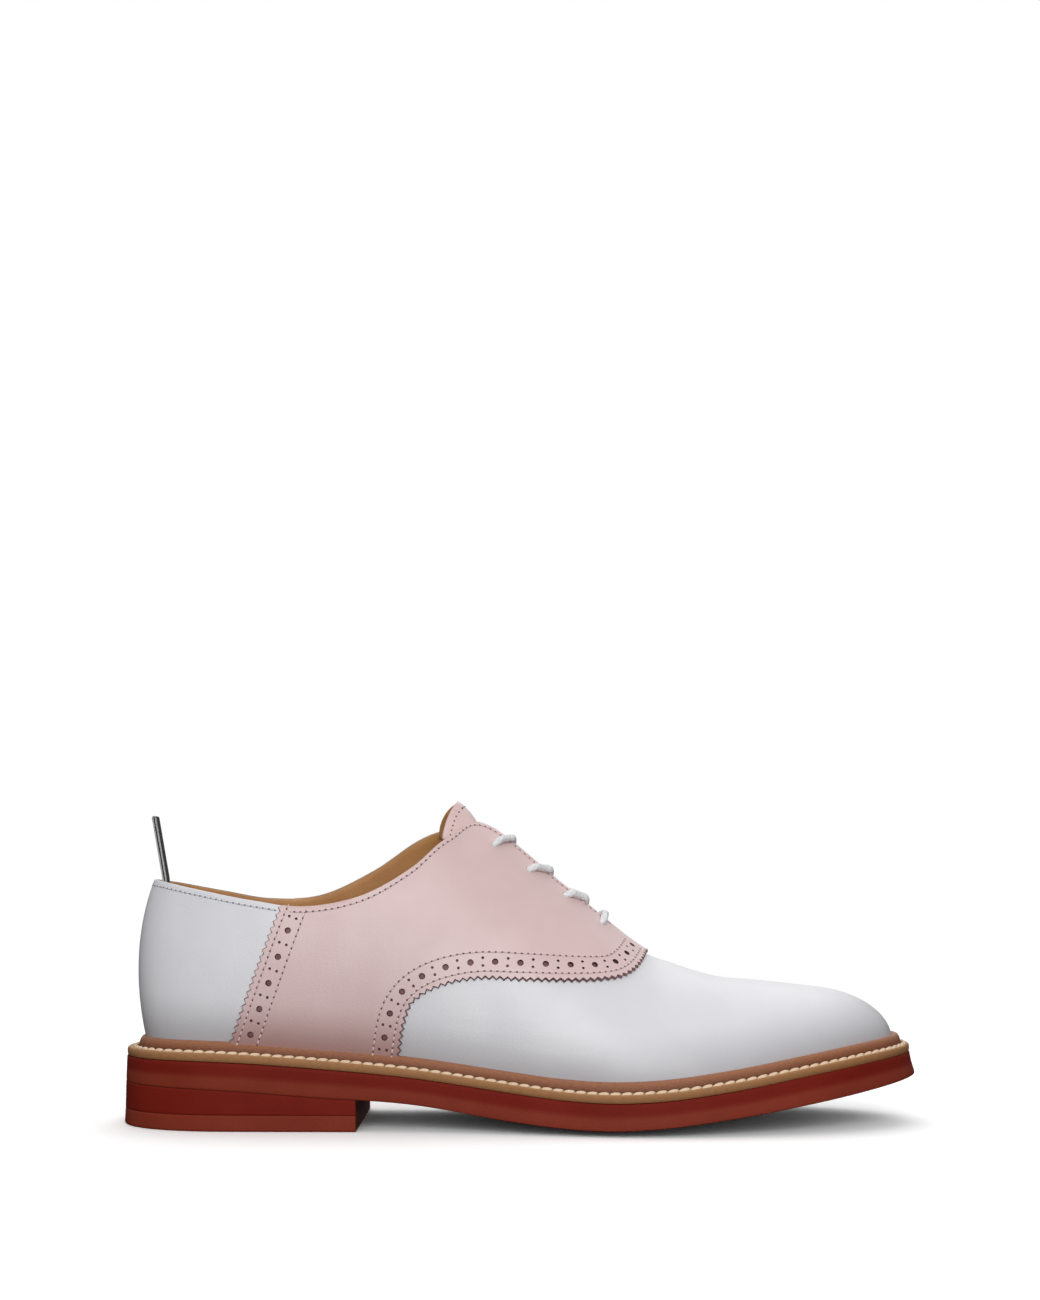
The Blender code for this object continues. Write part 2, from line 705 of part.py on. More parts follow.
def make_tongue():
    sink = -(UPPER_WALL + TONGUE_CLEAR)
    spread = [i / TONGUE_HALF_COLUMNS for i in range(1, TONGUE_HALF_COLUMNS + 1)]

    def cross_row(place):
        """Points across the tongue under one section, from the outer side to the inner."""
        halves = {}
        for side in (LATERAL, MEDIAL):
            halves[side] = [lifted(side, place, 1 - TONGUE_SHARE * width, sink) for width in spread]
        edges = [lifted(side, place, 1.0, sink) for side in (LATERAL, MEDIAL)]
        return halves[LATERAL][::-1] + [sum(edges) / 2] + halves[MEDIAL]

    rows = []
    span = TONGUE_TOP_SECTION - TONGUE_FRONT_SECTION
    for i in range(TONGUE_LENGTH_ROWS + 1):
        rows.append(cross_row(TONGUE_FRONT_SECTION + span * i / TONGUE_LENGTH_ROWS))
    base = rows[-1]
    middle = TONGUE_HALF_COLUMNS
    for i in range(1, TONGUE_FREE_ROWS + 1):
        row = []
        for j, point in enumerate(base):
            width = (j - middle) / TONGUE_HALF_COLUMNS
            side = LATERAL if width < 0 else MEDIAL
            towards_side = abs(width) * np.array(TONGUE_SIDE_TOP[side])
            belly = 4 * abs(width) * (1 - abs(width)) * np.array(TONGUE_BELLY[side])
            lead = (1 - abs(width)) * np.array(TONGUE_MIDDLE_TOP) + towards_side + belly
            bowed = max(0.0, 1 - abs(width) / TONGUE_BOW_WIDTH) * math.sin(math.pi * i / TONGUE_FREE_ROWS)
            bow = bowed * np.array(TONGUE_BOW)
            row.append(point + lead * i / TONGUE_FREE_ROWS + bow)
        rows.append(row)
    made = add_mesh("tongue", [(rows[::-1], False)], PINK_LEATHER, recalculate=False)
    return thicken(made, TONGUE_THICKNESS, -1.0)


def make_laces():
    lift = SADDLE_GAP + SADDLE_THICKNESS + LACE_CLEAR + LACE_RADIUS
    for eyelet in EYELETS:
        place = section_at(LATERAL, eyelet.x, eyelet.z)
        height = height_at(LATERAL, place, eyelet.z)
        meet = section_topping(eyelet.cross_x)
        halves = {}
        for side in (LATERAL, MEDIAL):
            halves[side] = []
            for i in range(LACE_STEPS):
                f = i / LACE_STEPS
                halves[side].append(lifted(side, place + (meet - place) * f, height + (1 - height) * f, lift))
        edges = [lifted(side, meet, 1.0, lift) for side in (LATERAL, MEDIAL)]
        path = halves[LATERAL] + [sum(edges) / 2] + halves[MEDIAL][::-1]
        cord = bpy.data.curves.new(eyelet.name, "CURVE")
        cord.dimensions = "3D"
        cord.bevel_depth = LACE_RADIUS * MM
        cord.bevel_resolution = LACE_ROUNDING
        cord.use_fill_caps = True
        line = cord.splines.new("POLY")
        line.points.add(len(path) - 1)
        for target, point in zip(line.points, path):
            target.co = (*placed(point), 1.0)
        add_object(eyelet.name, cord, WHITE_CORD)


def make_pull_loop():
    reach = LOOP_RIBBON + LOOP_SLOT / 2
    lean = (LOOP_TOP_X - LOOP_BASE_X) / (LOOP_TOP_Z - LOOP_COLLAR_Z)
    bend_z = LOOP_TOP_Z - reach

    def middle_x(z):
        return LOOP_BASE_X + lean * max(0.0, z - LOOP_COLLAR_Z)

    def outline(radius):
        """The ribbon's outer or inner line: up the back leg, round the top and down the front leg."""
        leg = (LOOP_FOOT_Z, LOOP_COLLAR_Z, (LOOP_COLLAR_Z + bend_z) / 2)
        points = [(middle_x(z) - radius, z) for z in leg]
        for i in range(LOOP_BEND_STEPS + 1):
            angle = math.pi * (1 - i / LOOP_BEND_STEPS)
            points.append((middle_x(bend_z) + radius * math.cos(angle), bend_z + radius * math.sin(angle)))
        for z in reversed(leg):
            points.append((middle_x(z) + radius, z))
        return points

    grid = []
    for outer, inner in zip(outline(reach), outline(LOOP_SLOT / 2)):
        ring = []
        for x, z, y in ((*outer, -1), (*inner, -1), (*inner, 1), (*outer, 1)):
            ring.append(np.array((x, y * LOOP_WIDTH / 2, z)))
        grid.append(ring)
    ends = [[np.mean(ring, axis=0)] * len(ring) for ring in (grid[0], grid[-1])]
    return add_mesh("pull_loop", [([ends[0], *grid, ends[1]], True)], CHARCOAL_RIBBON)


for leftover in list(bpy.data.objects):
    bpy.data.objects.remove(leftover, do_unlink=True)
make_heel()
make_outsole()
make_welt()
make_insole()
make_upper()
make_saddle()
make_tongue()
make_laces()
make_pull_loop()
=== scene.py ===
"""The looks of a welted saddle shoe for the right foot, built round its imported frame.

Sizes are in millimetres and become metres where a mesh is made. The toe points along +X, the inner side of
the foot along +Y, and the floor is Z = 0.
"""

import bisect
import math
from collections import namedtuple
from functools import lru_cache

import bmesh
import bpy
import numpy as np
from mathutils import Matrix, Vector
from mathutils.bvhtree import BVHTree


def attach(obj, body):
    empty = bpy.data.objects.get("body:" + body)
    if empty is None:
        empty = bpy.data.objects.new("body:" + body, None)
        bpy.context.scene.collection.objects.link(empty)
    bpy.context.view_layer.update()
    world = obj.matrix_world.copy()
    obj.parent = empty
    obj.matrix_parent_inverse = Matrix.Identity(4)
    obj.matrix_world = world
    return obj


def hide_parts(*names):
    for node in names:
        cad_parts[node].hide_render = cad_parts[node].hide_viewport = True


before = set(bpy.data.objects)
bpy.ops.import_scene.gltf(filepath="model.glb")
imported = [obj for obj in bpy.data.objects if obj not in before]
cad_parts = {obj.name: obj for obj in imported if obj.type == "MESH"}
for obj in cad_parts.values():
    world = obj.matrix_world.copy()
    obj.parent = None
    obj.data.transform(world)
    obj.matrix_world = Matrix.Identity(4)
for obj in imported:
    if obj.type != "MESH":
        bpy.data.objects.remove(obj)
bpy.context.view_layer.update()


# Heel. Two lifts of moulded red rubber under the back of the sole: a block darkened with painted shade, and
# a top piece that flares a little towards the floor. They are cemented to each other and to the outsole.
MM = 0.001
LATERAL = -1
MEDIAL = 1
SIDES = (LATERAL, MEDIAL)
GAP = 0.3
SOLE_LENGTH = 304.0
HEEL_ROUND = 47.0
HEEL_POWER = 2.3
TOE_ROUND = 100.0
TOE_POWER = 2.05
TOE_SWING = 6.0
TOE_SWING_START = 40.0
SOLE_CROWN = 3.0
CROWN_START = -45.0
CROWN_FULL = 0.0
CROWN_FADE = 0.8
CROWN_FADE_START = 70.0
HEEL_LENGTH = 91.0
BREAST_X = HEEL_LENGTH - SOLE_LENGTH / 2
HEEL_COLUMNS = 72
HEEL_ACROSS = 10
TOP_PIECE_HEIGHT = 6.0
HALVINGS = 34
SCAN_STEPS = 400
TURN_STEP = 0.002
MERGE_DISTANCE = 1e-6
SHARP_ANGLE = 40.0
ALL_SMOOTH = 180.0

# Half widths of the sole before its ends are rounded
Plan = namedtuple("Plan", "x lateral medial")
SOLE_PLAN = (
    Plan(-152, 36.0, 35.5),
    Plan(-105, 36.0, 35.5),
    Plan(-80, 36.5, 35.0),
    Plan(-50, 37.5, 33.0),
    Plan(-20, 41.0, 33.0),
    Plan(10, 47.5, 38.0),
    Plan(35, 52.0, 46.0),
    Plan(60, 52.5, 51.5),
    Plan(80, 52.0, 53.0),
    Plan(100, 52.2, 52.8),
    Plan(152, 52.0, 52.0),
)

# Height of the sole's top edge, from heel seat and waist to ball and toe spring, and the outsole's thickness
Line = namedtuple("Line", "x top thickness")
SOLE_LINE = (
    Line(-152, 25.8, 9.4),
    Line(-110, 25.2, 10.2),
    Line(-77, 23.0, 10.4),
    Line(-40, 19.6, 9.4),
    Line(-4, 14.8, 10.0),
    Line(14, 12.7, 9.8),
    Line(32, 11.8, 9.6),
    Line(47, 12.3, 9.4),
    Line(76, 15.8, 9.5),
    Line(106, 20.9, 10.0),
    Line(136, 25.2, 9.5),
    Line(152, 26.6, 8.4),
)

# A lift's side, as shares of its height from the top down and insets from the sole's outline
Side = namedtuple("Side", "share inset")
BLOCK_SIDE = (
    Side(0.0, 0.66),
    Side(0.02, 0.52),
    Side(0.08, 0.47),
    Side(0.3, 0.41),
    Side(0.6, 0.33),
    Side(0.92, 0.25),
    Side(0.98, 0.28),
    Side(1.0, 0.42),
)
TOP_PIECE_SIDE = (
    Side(0.0, 0.4),
    Side(0.03, 0.26),
    Side(0.12, 0.2),
    Side(0.5, 0.1),
    Side(0.8, 0.02),
    Side(0.9, 0.0),
    Side(0.97, 0.2),
    Side(1.0, 0.7),
)


@lru_cache(maxsize=None)
def curve_of(rows, column):
    """A table's column as places, values and slopes."""
    xs = [row.x for row in rows]
    values = [getattr(row, column) for row in rows]
    return xs, values, [float(slope) for slope in np.gradient(values, xs)]


def hermite(f, start, end, first, second):
    """A smooth curve from start to end at the share f, with the slopes first and second at its ends."""
    level = (1 + 2 * f) * (1 - f) ** 2 * start + f * f * (3 - 2 * f) * end
    return level + f * (1 - f) ** 2 * first - f * f * (1 - f) * second


def read(rows, column, x):
    """A table's column at x, on a smooth curve through its rows."""
    xs, values, slopes = curve_of(rows, column)
    if x <= xs[0]:
        return values[0]
    if x >= xs[-1]:
        return values[-1]
    i = bisect.bisect_left(xs, x) - 1
    span = xs[i + 1] - xs[i]
    return hermite((x - xs[i]) / span, values[i], values[i + 1], span * slopes[i], span * slopes[i + 1])


def ramp(x, start, end):
    """0 before start, 1 after end, with an easy curve between them."""
    f = min(max((x - start) / (end - start), 0.0), 1.0)
    return f * f * (3 - 2 * f)


def solve(function, low, high):
    """Where a rising function crosses zero, by halving."""
    for _ in range(HALVINGS):
        middle = (low + high) / 2
        if function(middle) < 0:
            low = middle
        else:
            high = middle
    return (low + high) / 2


def sole_edge(turn):
    """The sole's outline. A turn runs from 0 at the heel's back along the outer side to 1 at the toe's tip,
    and on along the inner side to 2."""
    turn = turn % 2
    share = min(turn, 2 - turn)
    x = -SOLE_LENGTH / 2 * math.cos(math.pi * share)
    heel = max(0.0, 1 - (x + SOLE_LENGTH / 2) / HEEL_ROUND)
    toe = max(0.0, 1 - (SOLE_LENGTH / 2 - x) / TOE_ROUND)
    rounding = (1 - heel**HEEL_POWER) ** (1 / HEEL_POWER) * (1 - toe**TOE_POWER) ** (1 / TOE_POWER)
    swing = TOE_SWING * ramp(x, TOE_SWING_START, SOLE_LENGTH / 2 + TOE_SWING_START)
    if turn <= 1:
        return np.array((x, swing - read(SOLE_PLAN, "lateral", x) * rounding))
    return np.array((x, swing + read(SOLE_PLAN, "medial", x) * rounding))


def edge_normal(turn):
    """The outline's unit normal, away from the shoe."""
    along = sole_edge(turn + TURN_STEP) - sole_edge(turn - TURN_STEP)
    return np.array((along[1], -along[0])) / np.linalg.norm(along)


def inset_edge(turn, inset):
    return sole_edge(turn) - inset * edge_normal(turn)


def centre_shift():
    """Brings the outline's widest points to the same distance from the middle."""
    ys = [sole_edge(i / SCAN_STEPS)[1] for i in range(2 * SCAN_STEPS + 1)]
    return -(max(ys) + min(ys)) / 2


CENTRE_SHIFT = centre_shift()


def placed(point):
    """A point of the tables in metres, with the sole's outline centred."""
    return Vector((point[0] * MM, (point[1] + CENTRE_SHIFT) * MM, point[2] * MM))


def sole_top(x):
    return read(SOLE_LINE, "top", x)


def sole_bottom(x, share):
    """Bottom of the outsole at a share of the way across: crowned at the forefoot and flat on the floor."""
    fade = 1 - CROWN_FADE * ramp(x, CROWN_FADE_START, SOLE_LENGTH / 2)
    crown = SOLE_CROWN * fade * ramp(x, CROWN_START, CROWN_FULL) * (1 - (2 * share - 1) ** 2)
    return max(0.0, sole_top(x) - read(SOLE_LINE, "thickness", x) - crown)


def across(start, end, count):
    """Points inside a straight line from one side to the other."""
    return [start + (end - start) * i / (count + 1) for i in range(1, count + 1)]


def close_ring(lateral, medial, below, above):
    """A ring down the outer side, across the bottom, up the inner side and back over the top. Its points
    across the bottom and the top are given with it."""
    lower = across(lateral[-1], medial[-1], below)
    upper = across(medial[0], lateral[0], above)
    return lateral + lower + medial[::-1] + upper + lateral[:1], lower, upper


def lay_grid(mesh, columns, finish=0):
    """Adds a grid of quads through columns of points, with one finish or a finish for each row. Its map runs
    along the columns and up each of them."""
    width = len(columns) - 1
    height = len(columns[0]) - 1
    mesh.loops.layers.uv.verify()
    made = bmesh.ops.create_grid(mesh, x_segments=width, y_segments=height, size=0.5, calc_uvs=True)
    for face in {face for vert in made["verts"] for face in vert.link_faces}:
        row = int((face.calc_center_median().y + 0.5) * height)
        face.material_index = finish if isinstance(finish, int) else finish[row]
    for vert in made["verts"]:
        column = columns[round((vert.co.x + 0.5) * width)]
        vert.co = placed(column[round((vert.co.y + 0.5) * height)])


def close_up(mesh, turn_out=True):
    """Joins the points that meet, and turns the faces of a closed body outwards."""
    bmesh.ops.remove_doubles(mesh, verts=mesh.verts, dist=MERGE_DISTANCE)
    bmesh.ops.dissolve_degenerate(mesh, edges=mesh.edges, dist=MERGE_DISTANCE)
    if turn_out:
        bmesh.ops.recalc_face_normals(mesh, faces=mesh.faces)


def add_piece(name, mesh, materials, nodes=(), sharp=SHARP_ANGLE):
    """A piece of the shoe from a bmesh. It rides on the shoe and stands for the named nodes."""
    data = bpy.data.meshes.new(name)
    mesh.to_mesh(data)
    mesh.free()
    data.shade_smooth()
    data.set_sharp_from_angle(angle=math.radians(sharp))
    for made in materials:
        data.materials.append(made)
    piece = bpy.data.objects.new(name, data)
    bpy.context.scene.collection.objects.link(piece)
    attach(piece, "root")
    if nodes:
        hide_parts(*nodes)
    return piece


def add_grid_piece(name, columns, finish, node):
    """A piece from one grid that closes on itself, in place of a node."""
    mesh = bmesh.new()
    lay_grid(mesh, columns)
    close_up(mesh)
    return add_piece(name, mesh, [finish], [node])


def set_inputs(node, **values):
    """Sets a node's inputs by name, with an underscore for each space."""
    for name, value in values.items():
        node.inputs[name.replace("_", " ")].default_value = value
    return node


def add_node(tree, kind, **values):
    """A new shader node with some of its inputs set."""
    return set_inputs(tree.nodes.new("ShaderNode" + kind), **values)


def wire(tree, *links):
    """Joins nodes. Each link gives a node and its output, then a node and its input."""
    for source, outlet, target, inlet in links:
        tree.links.new(source.outputs[outlet], target.inputs[inlet])


def add_tones(tree, *tones):
    """A colour ramp through tones."""
    node = add_node(tree, "ValToRGB")
    elements = node.color_ramp.elements
    for tone in tones[2:]:
        elements.new(tone.share)
    for element, tone in zip(elements, tones):
        element.position = tone.share
        element.color = (*tone.colour, 1.0)
    return node


def start_material(name, **values):
    """A new material, its tree and its shader, with some of the shader's inputs set."""
    made = bpy.data.materials.new(name)
    made.use_nodes = True
    shader = made.node_tree.nodes["Principled BSDF"]
    return made, made.node_tree, set_inputs(shader, **values)


FINE_DETAIL = 4.0
CLOUD_SCALE = 60.0
CLOUD_DETAIL = 5.0
MOTTLE_LOW = 0.3
MOTTLE_HIGH = 0.7
COAT_ROUGHNESS = 0.3
GLOSS_SWING = 0.08
WHITE = (1.0, 1.0, 1.0)

# A finish has two close tones, pores per metre and their depth in millimetres. A shade is painted shade: it
# tints the finish by a value that the mesh carries, fully at one value and not at all at another.
Tone = namedtuple("Tone", "share colour")
Finish = namedtuple("Finish", "light dark roughness pores depth coat shine", defaults=(0.0, 0.5))
Shade = namedtuple("Shade", "attribute tinted clear tint")


def make_grain():
    """Fine pores as a height, and a soft cloudy mottle, both on the shoe's own coordinates."""
    group = bpy.data.node_groups.new("grain", "ShaderNodeTree")
    for name, way in (("Pores", "INPUT"), ("Height", "OUTPUT"), ("Mottle", "OUTPUT")):
        group.interface.new_socket(name, in_out=way, socket_type="NodeSocketFloat")
    inlet = group.nodes.new("NodeGroupInput")
    outlet = group.nodes.new("NodeGroupOutput")
    place = add_node(group, "TexCoord")
    pores = add_node(group, "TexVoronoi")
    fine = add_node(group, "TexNoise", Detail=FINE_DETAIL)
    clouds = add_node(group, "TexNoise", Scale=CLOUD_SCALE, Detail=CLOUD_DETAIL)
    total = add_node(group, "Math")
    total.operation = "ADD"
    for texture in (pores, fine, clouds):
        wire(group, (place, "Object", texture, "Vector"))
    wire(
        group,
        (inlet, "Pores", pores, "Scale"),
        (inlet, "Pores", fine, "Scale"),
        (pores, "Distance", total, 0),
        (fine, "Fac", total, 1),
        (total, "Value", outlet, "Height"),
        (clouds, "Fac", outlet, "Mottle"),
    )
    return group


GRAIN = make_grain()


def make_grained(name, finish, shade=None):
    """A grained finish: pores as bump, and a mottle between its two tones that also varies the gloss. A
    shade, if given, is painted shade in its colour.
    """
    made, tree, shader = start_material(
        name, Coat_Weight=finish.coat, Coat_Roughness=COAT_ROUGHNESS, Specular_IOR_Level=finish.shine
    )
    grain = add_node(tree, "Group")
    grain.node_tree = GRAIN
    set_inputs(grain, Pores=finish.pores)
    tone = add_tones(tree, Tone(MOTTLE_LOW, finish.dark), Tone(MOTTLE_HIGH, finish.light))
    dull = finish.roughness + GLOSS_SWING
    gloss = add_node(tree, "MapRange", To_Min=dull, To_Max=finish.roughness - GLOSS_SWING)
    bump = add_node(tree, "Bump", Strength=1.0, Distance=finish.depth * MM)
    wire(
        tree,
        (grain, "Mottle", tone, "Fac"),
        (grain, "Mottle", gloss, "Value"),
        (grain, "Height", bump, "Height"),
        (tone, "Color", shader, "Base Color"),
        (gloss, "Result", shader, "Roughness"),
        (bump, "Normal", shader, "Normal"),
    )
    if shade:
        carried = add_node(tree, "Attribute")
        carried.attribute_name = shade.attribute
        clear = add_node(tree, "MapRange", From_Min=shade.tinted, From_Max=shade.clear)
        clear.interpolation_type = "SMOOTHSTEP"
        tint = add_tones(tree, Tone(0.0, shade.tint), Tone(1.0, WHITE))
        tinted = add_node(tree, "VectorMath")
        tinted.operation = "MULTIPLY"
        wire(
            tree,
            (carried, "Fac", clear, "Value"),
            (clear, "Result", tint, "Fac"),
            (tone, "Color", tinted, 0),
            (tint, "Color", tinted, 1),
            (tinted, "Vector", shader, "Base Color"),
        )
    return made


RUBBER_SHINE = 0.08
RED_FINISH = Finish((0.235, 0.035, 0.018), (0.2, 0.028, 0.0145), 0.6, 1500.0, 0.05, shine=RUBBER_SHINE)
# The block's darker red is painted shade; both lifts are the same rubber.
SHADED_RED_FINISH = Finish((0.19, 0.014, 0.0072), (0.165, 0.011, 0.0058), 0.6, 1500.0, 0.05, shine=RUBBER_SHINE)
RED_RUBBER = make_grained("red_rubber", RED_FINISH)
SHADED_RED_RUBBER = make_grained("dark_red_rubber", SHADED_RED_FINISH)


def add_lift(name, top, bottom, side_rows, finish):
    """A heel lift from the sole's back to its breast, closed by a flat breast face."""
    last = solve(lambda turn: sole_edge(turn)[0] - BREAST_X, 0.0, 1.0)
    columns = []
    for i in range(HEEL_COLUMNS + 1):
        part = last * math.sin(math.pi / 2 * i / HEEL_COLUMNS)
        sides = []
        for turn in (part, 2 - part):
            high = top(sole_edge(turn)[0])
            points = []
            for row in side_rows:
                points.append(np.array((*inset_edge(turn, row.inset), high + (bottom - high) * row.share)))
            sides.append(points)
        columns.append(close_ring(*sides, HEEL_ACROSS, HEEL_ACROSS)[0])
    for point in columns[-1]:
        point[0] = BREAST_X
    middle = [np.mean(columns[-1], axis=0)] * len(columns[-1])
    return add_grid_piece("rubber_" + name, [*columns, middle], finish, name)


add_lift(
    "heel_block",
    lambda x: sole_bottom(x, 0.0) - GAP / 3,
    TOP_PIECE_HEIGHT + GAP / 3,
    BLOCK_SIDE,
    SHADED_RED_RUBBER,
)
add_lift("heel_top_piece", lambda x: TOP_PIECE_HEIGHT, 0.0, TOP_PIECE_SIDE, RED_RUBBER)


# Outsole. One moulded sheet of red rubber about 10 mm thick, stitched under the welt. Its side stands upright
# below the welt and flares out to the bottom edge, and the forefoot has a fine cross tread.
HEEL_FLARE = 0.8
TOE_FLARE = 1.9
HEEL_TUCK = 0.5
TUCK_END = -30.0
SOLE_COLUMNS = 420
SOLE_ACROSS = 24
SOLE_TOP_ACROSS = 8
UPRIGHT_ROWS = 4
TREAD_START = 4.0
TREAD_END = 128.0
TREAD_PITCH = 6.0
TREAD_DEPTH = 0.9
TREAD_GROOVE = 0.28

# The sole's side from the top down: shares of its height and flare, and a further inset in millimetres
Wall = namedtuple("Wall", "share flare inset")
SOLE_SIDE = (
    Wall(0.0, 1.0, 0.25),
    Wall(0.03, 1.0, 0.05),
    Wall(0.15, 0.92, 0.0),
    Wall(0.35, 0.76, 0.0),
    Wall(0.5, 0.6, 0.0),
    Wall(0.62, 0.42, 0.0),
    Wall(0.8, 0.18, 0.0),
    Wall(0.93, 0.02, 0.0),
    Wall(0.98, 0.0, 0.08),
    Wall(1.0, 0.0, 0.3),
)


def flare(x):
    """How far the sole's top edge lies inside its widest line."""
    return HEEL_FLARE + (TOE_FLARE - HEEL_FLARE) * ramp(x, -SOLE_LENGTH / 2, SOLE_LENGTH / 2)


def tuck(x):
    """How far the outsole's bottom edge lies inside its widest line, above the heel."""
    return HEEL_TUCK * (1 - ramp(x, BREAST_X, TUCK_END))


def tread(x):
    """Depth of the cross grooves in the forefoot's bottom."""
    if not TREAD_START < x < TREAD_END:
        return 0.0
    phase = ((x - TREAD_START) / TREAD_PITCH) % 1.0
    return TREAD_DEPTH * (1 - ramp(abs(phase - 0.5), TREAD_GROOVE / 2, TREAD_GROOVE))


sole_columns = []
for step in range(SOLE_COLUMNS + 1):
    part = step / SOLE_COLUMNS
    x = sole_edge(part)[0]
    high = sole_top(x)
    low = sole_bottom(x, 0.0)
    sides = []
    for turn in (part, 2 - part):
        points = []
        for row in SOLE_SIDE:
            plan = inset_edge(turn, tuck(x) + (flare(x) - tuck(x)) * row.flare + row.inset)
            points.append(np.array((*plan, high + (low - high) * row.share)))
        sides.append(points)
    column, lower, _ = close_ring(*sides, SOLE_ACROSS, SOLE_TOP_ACROSS)
    for i, point in enumerate(lower):
        point[2] = sole_bottom(point[0], (i + 1) / (SOLE_ACROSS + 1)) + tread(point[0])
    sole_columns.append(column)
upright = [1] * UPRIGHT_ROWS
flared = [0] * (len(SOLE_SIDE) - 1 - UPRIGHT_ROWS)
bottom = [0] * (SOLE_ACROSS + 1)
top = [1] * (SOLE_TOP_ACROSS + 1)
outsole = bmesh.new()
lay_grid(outsole, sole_columns, finish=upright + flared + bottom + flared + upright + top)
close_up(outsole)

# The upright part of the side is darkened with painted shade, with a soft change where the flare begins
dark = outsole.verts.layers.float.new("painted_shade_band")
for vert in outsole.verts:
    vert[dark] = sum(face.material_index for face in vert.link_faces) / len(vert.link_faces)
for face in outsole.faces:
    face.material_index = 0
PAINTED_SHADE_BAND = Shade("painted_shade_band", 1.0, 0.0, (0.81, 0.4, 0.4))
BANDED_RUBBER = make_grained("banded_rubber", RED_FINISH, PAINTED_SHADE_BAND)
add_piece("rubber_outsole", outsole, [BANDED_RUBBER], ["outsole"])


# Storm welt. A strip of vegetable-tanned leather round the whole shoe, sewn to the outsole with thick cream
# thread, and a darker brown lip that stands up against the upper.
Corner = namedtuple("Corner", "inset rise")
WELT_TOP = 3.3
WELT_EDGE = (
    Corner(0.9, 0.1),
    Corner(0.45, 0.3),
    Corner(0.25, 0.8),
    Corner(0.15, 1.6),
    Corner(0.2, 2.4),
    Corner(0.35, 2.95),
    Corner(0.75, WELT_TOP),
)
WELT_CHANNEL = (Corner(3.0, 3.25), Corner(3.7, 2.9), Corner(4.5, 2.7), Corner(5.8, 2.7))
WELT_LIP = (
    Corner(5.5, 2.5),
    Corner(5.35, 3.4),
    Corner(5.4, 4.4),
    Corner(5.6, 5.4),
    Corner(5.95, 6.3),
    Corner(6.4, 7.0),
    Corner(7.0, 7.4),
    Corner(7.6, 7.4),
)
WELT_INNER = 11.3
LIP_HEIGHT = 7.4
WELT_STITCH_INSET = 4.0
WELT_STITCH_PITCH = 4.2
WELT_STITCH_SIZE = (4.5, 1.5, 1.7)
WELT_STITCH_LEAN = 0.12
FEATHER_INSET = 8.6
COLUMNS_PER_SECTION = 16
RIDGE_STEP = 1.0
SURFACE_STEP = 0.02
PLACE_DIGITS = 6

# Sections of the last from heel to toe. Each rib starts at feather_x on the welt and ends at top_x, on the
# collar, the facing's edge or the ridge. The half columns are distances from the ridge line, rise and swell
# lead out of the welt, and reach and tilt lead into the top (tilt 0 hangs straight down, 90 lies flat).
Section = namedtuple(
    "Section",
    "feather_x top_x lateral_half lateral_z medial_half medial_z rise lateral_swell medial_swell reach tilt",
)
SECTIONS = (
    Section(-143.4, -141.5, 0.0, 92.5, 0.0, 92.5, 20.6, 5.0, 5.0, 22.0, 21.0),
    Section(-138.0, -134.5, 12.0, 91.3, 12.0, 91.3, 20.0, 5.0, 5.0, 21.0, 20.0),
    Section(-123.0, -118.0, 22.0, 88.0, 22.0, 87.9, 19.0, 5.0, 4.8, 20.0, 16.0),
    Section(-102.0, -100.0, 27.0, 84.7, 27.0, 84.8, 19.0, 4.8, 4.4, 19.0, 13.0),
    Section(-80.0, -80.0, 29.3, 82.4, 28.0, 86.0, 18.0, 4.8, 3.8, 19.0, 13.0),
    Section(-58.0, -59.0, 29.4, 86.5, 26.2, 95.6, 20.0, 4.3, 2.8, 24.0, 14.0),
    Section(-36.0, -41.0, 26.0, 96.6, 22.0, 107.5, 24.0, 3.8, 1.8, 26.0, 20.0),
    Section(-20.0, -28.0, 19.0, 108.0, 16.0, 112.0, 27.0, 3.3, 1.3, 29.0, 28.0),
    Section(-8.0, -14.0, 5.5, 112.6, 5.5, 112.6, 29.0, 2.8, 0.8, 28.0, 56.0),
    Section(25.0, 15.0, 2.5, 89.9, 2.5, 89.9, 27.0, 2.8, 0.8, 22.0, 62.0),
    Section(52.0, 44.0, 0.0, 66.6, 0.0, 66.6, 22.0, 2.3, 0.8, 16.0, 90.0),
    Section(68.0, 59.0, 0.0, 60.0, 0.0, 60.0, 19.0, 1.8, 0.8, 19.0, 90.0),
    Section(85.0, 75.0, 0.0, 55.2, 0.0, 55.2, 17.0, 1.3, 0.8, 22.0, 90.0),
    Section(103.0, 90.0, 0.0, 53.7, 0.0, 53.7, 15.5, 0.8, 0.8, 22.0, 90.0),
    Section(118.0, 103.0, 0.0, 52.3, 0.0, 52.3, 14.0, 0.8, 0.8, 20.0, 90.0),
    Section(131.0, 113.0, 0.0, 51.2, 0.0, 51.2, 12.5, 0.8, 0.8, 16.0, 90.0),
    Section(140.5, 118.5, 0.0, 50.4, 0.0, 50.4, 11.0, 0.8, 0.8, 13.5, 90.0),
    Section(143.4, 120.0, 0.0, 50.1, 0.0, 50.1, 10.5, 0.8, 0.8, 12.5, 90.0),
)
LAST_SECTION = len(SECTIONS) - 1
THROAT_START_SECTION = 7
THROAT_END_SECTION = 10

# The ridge line of the vamp in the side view, carried on behind the throat over the open instep, and its
# swing to the inner side towards the toe
Edge = namedtuple("Edge", "x z")
RIDGE_BEHIND = (Edge(-80.0, 127.4), Edge(-59.0, 127.2), Edge(-41.0, 125.5), Edge(-28.0, 121.0))
RIDGE_AHEAD = tuple(Edge(row.top_x, row.lateral_z) for row in SECTIONS[THROAT_END_SECTION - 2 :])
RIDGE_LINE = RIDGE_BEHIND + RIDGE_AHEAD
Ridge = namedtuple("Ridge", "x y")
RIDGE = (Ridge(-150, 0.0), Ridge(-14, 0.5), Ridge(44, 3.0), Ridge(80, 5.0), Ridge(120, 6.0))


